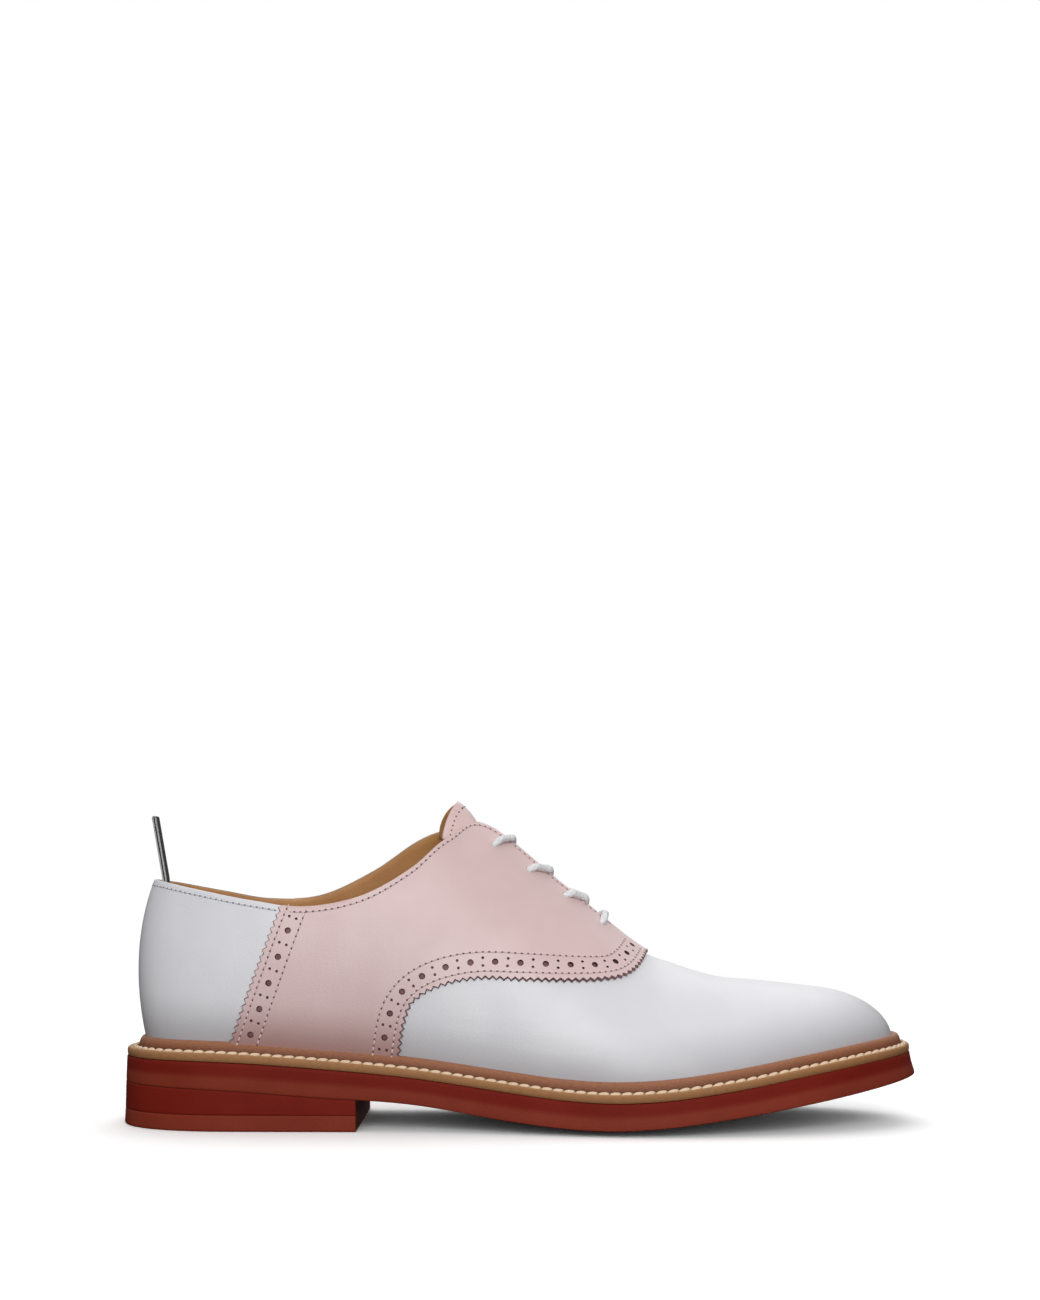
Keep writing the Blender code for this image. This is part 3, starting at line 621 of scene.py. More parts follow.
def section_value(column, position):
    """A column of SECTIONS on a smooth curve, level at both ends. A half passes through zero at the back."""
    values = [getattr(row, column) for row in SECTIONS]
    mirrored = -values[1] if column.endswith("half") else values[1]
    values = [mirrored, *values, values[-2]]
    i = min(int(position), LAST_SECTION - 1)
    before, start, end, after = values[i : i + 4]
    return hermite(position - i, start, end, (end - before) / 2, (after - start) / 2)


def ridge_slope(x):
    """How steeply the ridge line rises at x."""
    near = min(x, RIDGE_LINE[-1].x - RIDGE_STEP)
    ahead = read(RIDGE_LINE, "z", near + RIDGE_STEP)
    return (ahead - read(RIDGE_LINE, "z", near - RIDGE_STEP)) / (2 * RIDGE_STEP)


@lru_cache(maxsize=None)
def feather_turn(side, position):
    """The turn where a section's rib starts."""
    x = section_value("feather_x", position)
    if position <= 0:
        return 0.0
    if position >= LAST_SECTION:
        return 1.0
    if side == LATERAL:
        return solve(lambda turn: inset_edge(turn, FEATHER_INSET)[0] - x, 0.0, 1.0)
    return 2 - solve(lambda share: inset_edge(2 - share, FEATHER_INSET)[0] - x, 0.0, 1.0)


@lru_cache(maxsize=None)
def rib(side, position):
    """The four control points of a rib, from the welt to its top."""
    turn = feather_turn(side, position)
    plan = inset_edge(turn, FEATHER_INSET)
    out = edge_normal(turn)
    foot = np.array((*plan, sole_top(plan[0]) + WELT_TOP + GAP))
    name = "lateral" if side == LATERAL else "medial"
    top_x = section_value("top_x", position)
    half = max(0.0, section_value(name + "_half", position))
    if position >= THROAT_END_SECTION:
        half = 0.0
    top = np.array((top_x, read(RIDGE, "y", top_x) + side * half, section_value(name + "_z", position)))
    swell = section_value(name + "_swell", position)
    lead_out = np.array((swell * out[0], swell * out[1], section_value("rise", position)))
    tilt = math.radians(section_value("tilt", position))
    if position >= THROAT_END_SECTION:
        tilt = math.pi / 2
    flat = np.array((out[0], out[1], out[0] * ridge_slope(top_x)))
    hang = np.array((0.0, 0.0, -1.0))
    lead_in = section_value("reach", position) * (math.sin(tilt) * flat + math.cos(tilt) * hang)
    return foot, foot + lead_out, top + lead_in, top


def surface(side, position, height):
    """A point on the last: height runs from 0 at the welt to 1 at the top of the rib."""
    if position < 0:
        side = -side
        position = -position
    foot, above, below, top = rib(side, round(position, PLACE_DIGITS))
    rest = 1 - height
    return rest**3 * foot + 3 * rest**2 * height * above + 3 * rest * height**2 * below + height**3 * top


def outward(side, position, height):
    """The surface's unit normal, away from the foot."""
    if height == 1 and position >= THROAT_END_SECTION:
        slope = ridge_slope(surface(side, position, 1.0)[0])
        return np.array((-slope, 0.0, 1.0)) / math.hypot(slope, 1.0)
    ahead = surface(side, min(position + SURFACE_STEP, LAST_SECTION), height)
    along = ahead - surface(side, position - SURFACE_STEP, height)
    low = max(0.0, height - SURFACE_STEP)
    high = min(1.0, height + SURFACE_STEP)
    up = surface(side, position, high) - surface(side, position, low)
    normal = -side * np.cross(along, up)
    return normal / np.linalg.norm(normal)


def lifted(side, position, height, distance):
    return surface(side, position, height) + distance * outward(side, position, height)


def height_at(side, position, z):
    """Where a rib passes the height z."""
    return solve(lambda height: surface(side, position, height)[2] - z, 0.0, 1.0)


def around():
    """Every rib along the outer side to the toe and back along the inner side to where it started."""
    places = [i / COLUMNS_PER_SECTION for i in range(LAST_SECTION * COLUMNS_PER_SECTION + 1)]
    outer = [(LATERAL, place) for place in places]
    return outer + [(MEDIAL, place) for place in places[-2:0:-1]] + outer[:1]


def on_sole(turn, inset, rise):
    """A point inside the sole's outline, at a height above the sole's top edge."""
    plan = inset_edge(turn, inset)
    return np.array((*plan, sole_top(plan[0]) + rise))


def profile(turn, corners, inset=0.0):
    """A profile's corners as points, at one place of the sole's outline."""
    return [on_sole(turn, inset + corner.inset, corner.rise) for corner in corners]


strip_columns = []
lip_columns = []
for side, place in around():
    turn = feather_turn(side, place)
    strip = profile(turn, WELT_EDGE, flare(sole_edge(turn)[0])) + profile(turn, WELT_CHANNEL)
    strip += [on_sole(turn, WELT_INNER, rise) for rise in (WELT_TOP, WELT_EDGE[0].rise)]
    strip_columns.append(strip + strip[:1])
    lip = profile(turn, WELT_LIP)
    foot = surface(side, place, 0.0)
    out = np.array((*edge_normal(turn), 0.0))
    crest = surface(side, place, height_at(side, place, sole_top(foot[0]) + LIP_HEIGHT - GAP))
    lip += [crest + GAP / 3 * out, foot + GAP / 3 * out - np.array((0.0, 0.0, 2 * GAP))]
    lip_columns.append(lip + lip[:1])

WAX_ROUGHNESS = 0.55
WAX_SHINE = 0.3
FIBRE_DETAIL = 5.0
FIBRE_DARK = 0.72
FIBRE_LIGHT = 1.15
FIBRE_DEPTH = 0.2


def make_waxed(name, tones, fibre_scale):
    """A burnished leather strip: tones across its own map, and long fibres along it as tone and bump."""
    made, tree, shader = start_material(name, Roughness=WAX_ROUGHNESS, Specular_IOR_Level=WAX_SHINE)
    place = add_node(tree, "TexCoord")
    parts = add_node(tree, "SeparateXYZ")
    stretch = add_node(tree, "Mapping", Scale=fibre_scale)
    fibres = add_node(tree, "TexNoise", Scale=1.0, Detail=FIBRE_DETAIL)
    tone = add_tones(tree, *tones)
    depth = add_node(tree, "MapRange", From_Min=MOTTLE_LOW, From_Max=MOTTLE_HIGH)
    set_inputs(depth, To_Min=FIBRE_DARK, To_Max=FIBRE_LIGHT)
    shade = add_node(tree, "VectorMath")
    shade.operation = "SCALE"
    bump = add_node(tree, "Bump", Distance=FIBRE_DEPTH * MM)
    wire(
        tree,
        (place, "UV", parts, "Vector"),
        (parts, "Y", tone, "Fac"),
        (place, "UV", stretch, "Vector"),
        (stretch, "Vector", fibres, "Vector"),
        (fibres, "Fac", depth, "Value"),
        (fibres, "Fac", bump, "Height"),
        (tone, "Color", shade, 0),
        (depth, "Result", shade, "Scale"),
        (shade, "Vector", shader, "Base Color"),
        (bump, "Normal", shader, "Normal"),
    )
    return made


TAN_TONES = (
    Tone(0.0, (0.31, 0.135, 0.05)),
    Tone(0.36, (0.42, 0.2, 0.08)),
    Tone(0.5, (0.56, 0.3, 0.14)),
    Tone(1.0, (0.38, 0.17, 0.06)),
)
# The lip's tones darken towards its foot by the welt's channel: painted shade.
LIP_TONES = (
    Tone(0.06, (0.11, 0.035, 0.014)),
    Tone(0.24, (0.24, 0.085, 0.038)),
    Tone(0.42, (0.36, 0.143, 0.07)),
    Tone(0.62, (0.42, 0.19, 0.112)),
)
TAN_WELT = make_waxed("tan_welt", TAN_TONES, (420.0, 60.0, 1.0))
BROWN_LIP = make_waxed("brown_lip", LIP_TONES, (520.0, 26.0, 1.0))
add_grid_piece("welt_strip", strip_columns, TAN_WELT, "welt")
add_grid_piece("welt_lip", lip_columns, BROWN_LIP, "welt")


def spaced(line, pitch, start=0.0):
    """Points at an even pitch in millimetres along a line in metres, each with the line's direction there."""
    lengths = [0.0]
    for before, after in zip(line, line[1:]):
        lengths.append(lengths[-1] + (after - before).length)
    found = []
    reach = start * MM
    i = 0
    while reach <= lengths[-1]:
        while lengths[i + 1] < reach:
            i += 1
        step = line[i + 1] - line[i]
        share = (reach - lengths[i]) / (lengths[i + 1] - lengths[i])
        found.append((line[i] + step * share, step.normalized()))
        reach += pitch * MM
    return found


THREAD_ROUGHNESS = 0.6
STRAND_SCALE = 900.0
STRAND_SHADE = 0.8
STRAND_DEPTH = 0.06
BUMP_AROUND = 8
BUMP_ROWS = 6


def add_relief(tree, shader, pattern, outlet, tones, depth):
    """Colours a shader between two tones by a pattern, the darker tone in its low parts as painted shade, and
    raises the pattern as bump.
    """
    dark, light = tones
    tone = add_tones(tree, Tone(0.0, dark), Tone(1.0, light))
    bump = add_node(tree, "Bump", Distance=depth * MM)
    wire(
        tree,
        (pattern, outlet, tone, "Fac"),
        (pattern, outlet, bump, "Height"),
        (tone, "Color", shader, "Base Color"),
        (bump, "Normal", shader, "Normal"),
    )


def make_thread(name, colour):
    """Twisted thread: fine slanting strands over a plain colour."""
    made, tree, shader = start_material(name, Roughness=THREAD_ROUGHNESS)
    strands = add_node(tree, "TexWave", Scale=STRAND_SCALE)
    strands.bands_direction = "DIAGONAL"
    wire(tree, (add_node(tree, "TexCoord"), "Object", strands, "Vector"))
    shaded = [STRAND_SHADE * part for part in colour]
    add_relief(tree, shader, strands, "Fac", (shaded, colour), STRAND_DEPTH)
    return made


def sew(name, spots, size, finish):
    """Many low rounded bumps as one piece, each at a spot with its own direction and upper side."""
    bump = bmesh.new()
    bmesh.ops.create_uvsphere(bump, u_segments=BUMP_AROUND, v_segments=BUMP_ROWS, radius=0.5)
    pattern = bpy.data.meshes.new(name)
    bump.to_mesh(pattern)
    bump.free()
    joined = bmesh.new()
    length, width, height = (value * MM for value in size)
    for point, along, up in spots:
        level = up.cross(along).normalized()
        upper = along.cross(level)
        turned = Matrix((along * length, level * width, upper * height)).transposed().to_4x4()
        copy = pattern.copy()
        copy.transform(Matrix.Translation(point) @ turned)
        joined.from_mesh(copy)
        bpy.data.meshes.remove(copy)
    bpy.data.meshes.remove(pattern)
    return add_piece(name, joined, [finish], sharp=ALL_SMOOTH)


CREAM_THREAD = make_thread("cream_thread", (0.95, 0.72, 0.5))
UP = Vector((0.0, 0.0, 1.0))
welt_line = []
for step in range(2 * SCAN_STEPS + 1):
    welt_line.append(placed(on_sole(step / SCAN_STEPS, WELT_STITCH_INSET, WELT_TOP)))
welt_spots = []
for point, along in spaced(welt_line, WELT_STITCH_PITCH):
    welt_spots.append((point, (along + WELT_STITCH_LEAN * UP).normalized(), UP))
sew("welt_stitches", welt_spots, WELT_STITCH_SIZE, CREAM_THREAD)


# Insole. A shaped leather board inside the welt, covered by a smooth tan sock lining that the foot stands on.
# It is laid in after lasting and cemented down.
INSOLE_INSET = 11.7
INSOLE_BEVEL = 2.6
INSOLE_THICKNESS = 5.0
INSOLE_ACROSS = 14
INSOLE_COLUMNS = 160
INSOLE_DISH = 0.8
INSOLE_EDGE = (
    Corner(INSOLE_INSET + INSOLE_BEVEL, GAP + INSOLE_THICKNESS),
    Corner(INSOLE_INSET + 0.8, GAP + 4.0),
    Corner(INSOLE_INSET, GAP + INSOLE_THICKNESS / 2),
    Corner(INSOLE_INSET, GAP),
)
INSOLE_FINISH = Finish((0.58, 0.35, 0.17), (0.48, 0.28, 0.13), 0.5, 1300.0, 0.06, 0.05)
INSOLE_LEATHER = make_grained("insole_leather", INSOLE_FINISH)
insole_columns = []
for step in range(INSOLE_COLUMNS + 1):
    place = LAST_SECTION * step / INSOLE_COLUMNS
    sides = [profile(feather_turn(side, place), INSOLE_EDGE) for side in SIDES]
    column, _, above = close_ring(*sides, INSOLE_ACROSS, INSOLE_ACROSS)
    for i, point in enumerate(above):
        share = (i + 1) / (INSOLE_ACROSS + 1)
        point[2] -= INSOLE_DISH * (1 - (2 * share - 1) ** 2)
    insole_columns.append(column)
add_grid_piece("leather_insole", insole_columns, INSOLE_LEATHER, "insole")


# Upper. Vamp and counter of smooth white calf, lasted over the insole and sewn to the welt, with a tan
# leather lining inside. The collar's edge is cut and rounded, and the vamp has a few faint creases.
UPPER_WALL = 2.2
UPPER_SHARP = 60.0
OUTER_ROWS = 48
INNER_ROWS = 30
RIM_ROWS = 6
RIM_RISE = 0.35
COLLAR_STITCH_DROP = 2.0
COLLAR_STITCH_PITCH = 2.35
COUNTER_END = 3.45
COUNTER_STEPS = 80
THREAD_SIZE = (1.7, 0.65, 0.34)
NEEDLE_SIZE = (0.9, 0.72, 0.18)
THREAD_RISE = 0.08
LEAST_CREASE = 1e-4

# Creases beside the ball of the foot, from start to end in the side view
Crease = namedtuple("Crease", "start_x start_z end_x end_z width depth")
CREASES = (
    Crease(-34.0, 40.0, 12.0, 36.5, 1.3, 0.16),
    Crease(-26.0, 35.0, 26.0, 31.0, 1.4, 0.18),
    Crease(-12.0, 44.5, 22.0, 42.0, 1.2, 0.12),
    Crease(-30.0, 31.0, 6.0, 28.0, 1.2, 0.16),
    Crease(6.0, 47.5, 40.0, 44.0, 1.5, 0.12),
)


def crease_depth(point):
    """How deep the creases are at a point of the upper, seen from the side."""
    depth = 0.0
    for crease in CREASES:
        run = crease.end_x - crease.start_x
        share = (point[0] - crease.start_x) / run
        if not 0 < share < 1:
            continue
        off = point[2] - crease.start_z - share * (crease.end_z - crease.start_z)
        fade = math.sin(math.pi * share)
        depth += crease.depth * fade * math.exp(-((off / crease.width) ** 2))
    return depth


def creased(side, place, height):
    """The outside of the upper with its creases pressed in."""
    point = surface(side, place, height)
    depth = crease_depth(point)
    if depth < LEAST_CREASE:
        return point
    return point - depth * outward(side, place, height)


def rim_column(outer, inner, below):
    """A rounded edge from the outer to the inner side of a wall, standing up along the rib."""
    middle = (outer + inner) / 2
    half = (outer - inner) / 2
    up = (outer - below) / np.linalg.norm(outer - below)
    rise = RIM_RISE * np.linalg.norm(half)
    points = []
    for i in range(RIM_ROWS + 1):
        angle = math.pi * i / RIM_ROWS
        points.append(middle + math.cos(angle) * half + math.sin(angle) * rise * up)
    points[0] = outer
    points[-1] = inner
    return points


def mark_height(piece):
    """Gives a mesh its height above the sole, for finishes with painted shade that darkens them towards the
    welt.
    """
    heights = [vert.co.z / MM - sole_top(vert.co.x / MM) for vert in piece.data.vertices]
    piece.data.attributes.new("above_sole", "FLOAT", "POINT").data.foreach_set("value", heights)


# Painted shade: the upper's leather darkens softly from 26 mm above the sole's top down to 3 mm, low on the
# upper above the welt.
PAINTED_SHADE_LOW = 3.0
PAINTED_SHADE_HIGH = 26.0
WHITE_FINISH = Finish((0.8, 0.8, 0.83), (0.77, 0.77, 0.805), 0.42, 1400.0, 0.03, 0.1)
WHITE_PAINTED_SHADE = Shade("above_sole", PAINTED_SHADE_LOW, PAINTED_SHADE_HIGH, (0.55, 0.54, 0.545))
LINING_FINISH = Finish((0.55, 0.28, 0.1), (0.42, 0.2, 0.07), 0.55, 1200.0, 0.06)
BROWN_FINISH = Finish((0.2, 0.11, 0.055), (0.13, 0.07, 0.035), 0.6, 1200.0, 0.05)
WHITE_LEATHER = make_grained("white_leather", WHITE_FINISH, WHITE_PAINTED_SHADE)
LINING = make_grained("tan_lining", LINING_FINISH)
BROWN_EDGE = make_grained("brown_edge", BROWN_FINISH)
UPPER_FINISHES = [WHITE_LEATHER, LINING, BROWN_EDGE]
OUTSIDE, INSIDE, CUT = range(len(UPPER_FINISHES))
RIM_FINISHES = [OUTSIDE, OUTSIDE, CUT, CUT, INSIDE, INSIDE]
outer_heights = [j / OUTER_ROWS for j in range(OUTER_ROWS + 1)]
inner_heights = [1 - j / INNER_ROWS for j in range(INNER_ROWS + 1)]
outer_columns = []
inner_columns = []
for side, place in around():
    outer_columns.append([creased(side, place, height) for height in outer_heights])
    inner_columns.append([lifted(side, place, height, -UPPER_WALL) for height in inner_heights])
foot_columns = [[inner[-1], outer[0]] for inner, outer in zip(inner_columns, outer_columns)]
rims = [rim_column(outer[-1], inner[0], outer[-2]) for outer, inner in zip(outer_columns, inner_columns)]
open_ribs = THROAT_END_SECTION * COLUMNS_PER_SECTION
rim_columns = rims[-1 - open_ribs : -1] + rims[: open_ribs + 1]
upper = bmesh.new()
lay_grid(upper, outer_columns)
upper.normal_update()
UPPER_SURFACE = BVHTree.FromBMesh(upper)
lay_grid(upper, rim_columns, finish=RIM_FINISHES)
lay_grid(upper, inner_columns, finish=INSIDE)
lay_grid(upper, foot_columns, finish=INSIDE)
close_up(upper, turn_out=False)
mark_height(add_piece("lasted_upper", upper, UPPER_FINISHES, ["upper"], UPPER_SHARP))


def height_below_top(side, place, drop):
    """The height on a rib, in its upper half, that lies a drop below its top."""
    top = surface(side, place, 1.0)
    return solve(lambda height: drop - np.linalg.norm(top - surface(side, place, height)), 0.5, 1.0)


def top_line(ends, drop, lift, count):
    """Points along the collar or a facing, a drop below its edge. Places on the inner side are negative."""
    start, end = ends
    points = []
    for i in range(count + 1):
        signed = start + (end - start) * i / count
        side = MEDIAL if signed < 0 else LATERAL
        place = abs(signed)
        points.append(placed(lifted(side, place, height_below_top(side, place, drop), lift)))
    return points


def upper_normal(point):
    return UPPER_SURFACE.find_nearest(point)[1]


def seam(line, pitch):
    """Spots on the upper along a line: one list for stitches and one for the needle holes between them."""
    rows = []
    for start in (0.0, pitch / 2):
        rows.append([(point, along, upper_normal(point)) for point, along in spaced(line, pitch, start)])
    return rows


COUNTER_THREAD = make_thread("grey_thread", (0.74, 0.74, 0.78))
# The collar seam's needle holes are grey dots: painted shade in the holes.
GREY_SHADE_FINISH = Finish((0.3, 0.28, 0.31), (0.24, 0.22, 0.25), 0.7, 1400.0, 0.02)
GREY_HOLE_SHADE = make_grained("grey_hole_shade", GREY_SHADE_FINISH)
counter_line = top_line((-COUNTER_END, COUNTER_END), COLLAR_STITCH_DROP, THREAD_RISE, COUNTER_STEPS)
counter_threads, counter_needles = seam(counter_line, COLLAR_STITCH_PITCH)
sew("counter_stitches", counter_threads, THREAD_SIZE, COUNTER_THREAD)
sew("counter_needle_holes", counter_needles, NEEDLE_SIZE, GREY_HOLE_SHADE)


# Saddle. A pale pink calf overlay across the waist and instep, sewn on top of the upper. Its front and rear
# edges are pinked in teeth and brogued with punched holes between two rows of stitches, and its facings
# carry the eyelets.
SADDLE_GAP = 0.52
SADDLE_THICKNESS = 1.1
SADDLE_LIFT = SADDLE_GAP + SADDLE_THICKNESS
SADDLE_ROWS = 44
SADDLE_MARGIN = 3.0
BRIDGE_END_X = 47.6
FACING_CORNER = 8.0
RIDGE_CLEAR = 1.2
SMOOTHINGS = 24
LINE_STEP = 1.0
LEAST_STEP = 1e-4
FRONT_FOOT_X = -45.8
REAR_FOOT_X = -107.5
REAR_TOP_X = -89.0
REAR_BELOW = 3.0
REAR_ABOVE = (2.5, 5.0)
REAR_STEPS = 20
REAR_FOOT_SECTIONS = (1.0, 6.0)
LEANING_SECTIONS = 3.0
COLLAR_LOW_SECTION = 4
SPEED_STEP = 0.01
TOOTH_PITCH = 2.77
TOOTH_DEPTH = 1.2
TRIM_WIDTH = 6.0
TRIM_LOW = -1.5
TRIM_HIGH = 4.0
CUT_SLANT = 0.5
EDGE_STEPS = 5
HOLE_BOTTOM = 0.6
HOLE_HIGH = 3.5
HOLE_TAPER = 0.75
HOLE_SEGMENTS = 18
LARGE_HOLE = 2.6
SMALL_HOLE = 1.15
EYELET_HOLE = 3.0
LARGE_HOLE_INSET = 5.7
SMALL_HOLE_OFFSETS = (-1.4, 1.4)
FRONT_HOLE_PITCH = 9.25
FRONT_HOLE_START = 7.1
REAR_HOLE_PITCH = 10.2
REAR_HOLE_START = 9.4
STITCH_INSETS = (2.2, 9.3)
STITCH_PITCH = 2.4
STITCH_LIFT = SADDLE_LIFT + THREAD_RISE
COLLAR_START = 3.75
FACING_END = 9.6
FACING_STEPS = 140
LEATHER, CUT_FACE, HOLE_WALL, COLLAR_FACE, HOLE_END = range(5)

# Front edge of the saddle from the welt to the ridge, as seen from the side
SADDLE_FRONT = (
    Edge(-45.8, 27.0),
    Edge(-44.8, 35.0),
    Edge(-43.8, 40.0),
    Edge(-41.8, 46.0),
    Edge(-38.0, 50.0),
    Edge(-31.0, 53.6),
    Edge(-24.5, 55.5),
    Edge(-14.0, 56.7),
    Edge(-3.0, 56.2),
    Edge(9.0, 55.7),
    Edge(20.0, 55.4),
    Edge(30.0, 55.6),
    Edge(38.6, 57.0),
    Edge(43.0, 59.8),
    Edge(47.6, 64.9),
)

# Eyelets of one facing, and where the two lace ends that leave each pair cross on the ridge
Eyelet = namedtuple("Eyelet", "name x z cross_x")
EYELETS = (
    Eyelet("lace_cross_1", -11.0, 105.0, -4.6),
    Eyelet("lace_cross_2", 2.0, 95.5, 9.8),
    Eyelet("lace_cross_3", 16.0, 85.6, 23.5),
    Eyelet("lace_bar", 30.0, 75.0, 30.5),
)


def section_at(side, x, z):
    """The section whose rib passes the point (x, z) of the side view."""

    def past_point(position):
        return surface(side, position, height_at(side, position, z))[0] - x

    return solve(past_point, 1.0, LAST_SECTION - 1)


def section_topping(x, first=THROAT_START_SECTION, last=LAST_SECTION):
    """The section between first and last whose rib ends at x."""
    return solve(lambda position: section_value("top_x", position) - x, first, last)


def saddle_foot(side, place):
    """Where the saddle starts on a rib, just above the welt's lip."""
    foot = surface(side, place, 0.0)
    return height_at(side, place, sole_top(foot[0]) + LIP_HEIGHT - 2 * GAP)


def saddle_low(side, place):
    """The lowest height of the untrimmed saddle on a rib, a margin outside its front edge."""
    foot = saddle_foot(side, place)
    if surface(side, place, foot)[0] < FRONT_FOOT_X + SADDLE_MARGIN:
        return foot

    def past_edge(height):
        point = surface(side, place, height)
        return point[2] - read(SADDLE_FRONT, "z", point[0])

    edge = solve(past_edge, 0.0, 1.0)
    run = surface(side, place, edge) - surface(side, place, edge - SPEED_STEP)
    return max(foot, edge - SADDLE_MARGIN * SPEED_STEP / np.linalg.norm(run))


def saddle_places():
    """Rib places from behind the saddle's rear edge to just past its tip on the ridge."""
    first = section_topping(REAR_TOP_X - SADDLE_MARGIN, 0, THROAT_START_SECTION)
    last = section_topping(BRIDGE_END_X + SADDLE_MARGIN)
    start = math.ceil(first * COLUMNS_PER_SECTION)
    end = int(last * COLUMNS_PER_SECTION)
    return [first, *(i / COLUMNS_PER_SECTION for i in range(start, end + 1)), last]


def saddle_columns(side):
    """Columns of (place, height) that lean with the rear edge at the back and follow the ribs further on."""
    places = saddle_places()
    first = places[0]
    foot_x = REAR_FOOT_X - SADDLE_MARGIN
    lean = first - solve(lambda place: section_value("feather_x", place) - foot_x, *REAR_FOOT_SECTIONS)
    columns = []
    for place in places:
        share_left = 1 - ramp(place, first, first + LEANING_SECTIONS)
        column = []
        for j in range(SADDLE_ROWS + 1):
            share = j / SADDLE_ROWS
            there = place - lean * share_left * (1 - share)
            low = saddle_low(side, there)
            column.append((there, 1 - (1 - low) * (1 - share)))
        columns.append(column)
    return columns


def lay_saddle(mesh, side):
    """The untrimmed saddle of one side as a closed wall, open only along the ridge."""
    columns = saddle_columns(side)
    if side == MEDIAL:
        columns.reverse()
    tops = [column[-1][0] for column in columns]
    outer = []
    inner = []
    rims = []
    for column, top in zip(columns, tops):
        above = [lifted(side, place, height, SADDLE_LIFT) for place, height in column]
        below = [lifted(side, place, height, SADDLE_GAP) for place, height in column[::-1]]
        rim = rim_column(above[-1], below[0], above[-2])
        if top >= THROAT_END_SECTION:
            rim = [above[-1] + (below[0] - above[-1]) * j / RIM_ROWS for j in range(RIM_ROWS + 1)]
        outer.append(above)
        inner.append(below)
        rims.append(rim)
    collar = [rim for rim, top in zip(rims, tops) if top <= FACING_CORNER]
    facing = [rim for rim, top in zip(rims, tops) if FACING_CORNER <= top <= THROAT_END_SECTION]
    lay_grid(mesh, outer)
    lay_grid(mesh, inner)
    lay_grid(mesh, collar, finish=COLLAR_FACE)
    lay_grid(mesh, facing, finish=CUT_FACE)
    lay_grid(mesh, [[below[-1], above[0]] for above, below in zip(outer, inner)])
    for end in (0, -1):
        ring = outer[end] + rims[end][1:-1] + inner[end] + outer[end][:1]
        middle = [np.mean(ring, axis=0)] * len(ring)
        lay_grid(mesh, [ring, middle])


def on_upper(side, x, z):
    """The point of the upper's outside at (x, z) of the side view, in metres."""
    start = Vector((x * MM, side * SOLE_LENGTH * MM, z * MM))
    return UPPER_SURFACE.ray_cast(start, Vector((0.0, -side, 0.0)))[0]


def front_half(side):
    """The saddle's front edge on one side, from the welt to just below the ridge."""
    points = []
    for before, after in zip(SADDLE_FRONT, SADDLE_FRONT[1:]):
        for i in range(EDGE_STEPS):
            x = before.x + (after.x - before.x) * i / EDGE_STEPS
            points.append(on_upper(side, x, read(SADDLE_FRONT, "z", x)))
    return points


def rear_line(side):
    """The saddle's straight rear edge on one side, carried on past the welt's lip and the collar."""
    top = SECTIONS[COLLAR_LOW_SECTION].lateral_z
    foot = sole_top(REAR_FOOT_X) + LIP_HEIGHT
    points = []
    for i in range(REAR_STEPS):
        share = i / REAR_STEPS
        x = REAR_FOOT_X + (REAR_TOP_X - REAR_FOOT_X) * share
        points.append(on_upper(side, x, foot + (top - foot) * share))
    reach = (points[-1] - points[-2]).normalized() * MM
    return [points[0] - REAR_BELOW * reach, *points, *(points[-1] + rise * reach for rise in REAR_ABOVE)]


def inside_edge(point, along, inset):
    """The point of the upper at an inset from an edge, into the saddle, with the normal there."""
    normal = upper_normal(point)
    inward = normal.cross(along).normalized()
    found, normal, _, _ = UPPER_SURFACE.find_nearest(point + inward * inset * MM)
    return found, normal


def capped(rings):
    """Closed rings with both ends drawn together to a point."""
    first, last = ([np.mean(ring[1:], axis=0)] * len(ring) for ring in (rings[0], rings[-1]))
    return [first, *rings, last]


def lay_trim(mesh, line):
    """A toothed bar along an edge that trims away what lies outside it."""
    shift = Vector((0.0, CENTRE_SHIFT, 0.0))
    rings = []
    for i, (point, along) in enumerate(spaced(line, TOOTH_PITCH / 2)):
        inset = TOOTH_DEPTH / 2 if i % 2 else -TOOTH_DEPTH / 2
        normal = upper_normal(point)
        inward = normal.cross(along).normalized()
        base = point / MM - shift + inward * inset
        far = base - inward * TRIM_WIDTH
        low = normal * TRIM_LOW + inward * CUT_SLANT * (TRIM_LOW - SADDLE_LIFT)
        high = normal * TRIM_HIGH + inward * CUT_SLANT * (TRIM_HIGH - SADDLE_LIFT)
        rings.append([base + low, base + high, far + high, far + low, base + low])
    lay_grid(mesh, capped(rings), finish=CUT_FACE)


def punch(mesh, point, normal, diameter):
    """A tapered punch that leaves a blind hole in the saddle."""
    depth = (HOLE_HIGH - HOLE_BOTTOM) * MM
    middle = point + normal * (HOLE_BOTTOM * MM + depth / 2)
    turned = normal.to_track_quat("Z", "Y").to_matrix().to_4x4()
    radius = diameter / 2 * MM
    made = bmesh.ops.create_cone(
        mesh,
        cap_ends=True,
        segments=HOLE_SEGMENTS,
        radius1=radius * HOLE_TAPER,
        radius2=radius * (2 - HOLE_TAPER),
        depth=depth,
        matrix=Matrix.Translation(middle) @ turned,
    )
    for vert in made["verts"]:
        for face in vert.link_faces:
            face.material_index = HOLE_WALL if len(face.verts) == 4 else HOLE_END


# A brogued band: the saddle's edge on one side, and the pitch and start of its large holes
Band = namedtuple("Band", "line side pitch start")


def inner_line(band, inset):
    """A line on the upper at an inset from a band's edge, into the saddle and short of the ridge."""
    points = []
    for point, along in spaced(band.line, LINE_STEP):
        found = inside_edge(point, along, inset)[0]
        off_ridge = found.y / MM - CENTRE_SHIFT - read(RIDGE, "y", found.x / MM)
        repeated = points and (found - points[-1]).length < LEAST_STEP
        if band.side * off_ridge >= RIDGE_CLEAR and not repeated:
            points.append(found)
    for _ in range(SMOOTHINGS):
        inner = [(a + 2 * b + c) / 4 for a, b, c in zip(points, points[1:], points[2:])]
        points = [points[0], *inner, points[-1]]
    return [UPPER_SURFACE.find_nearest(point)[0] for point in points]


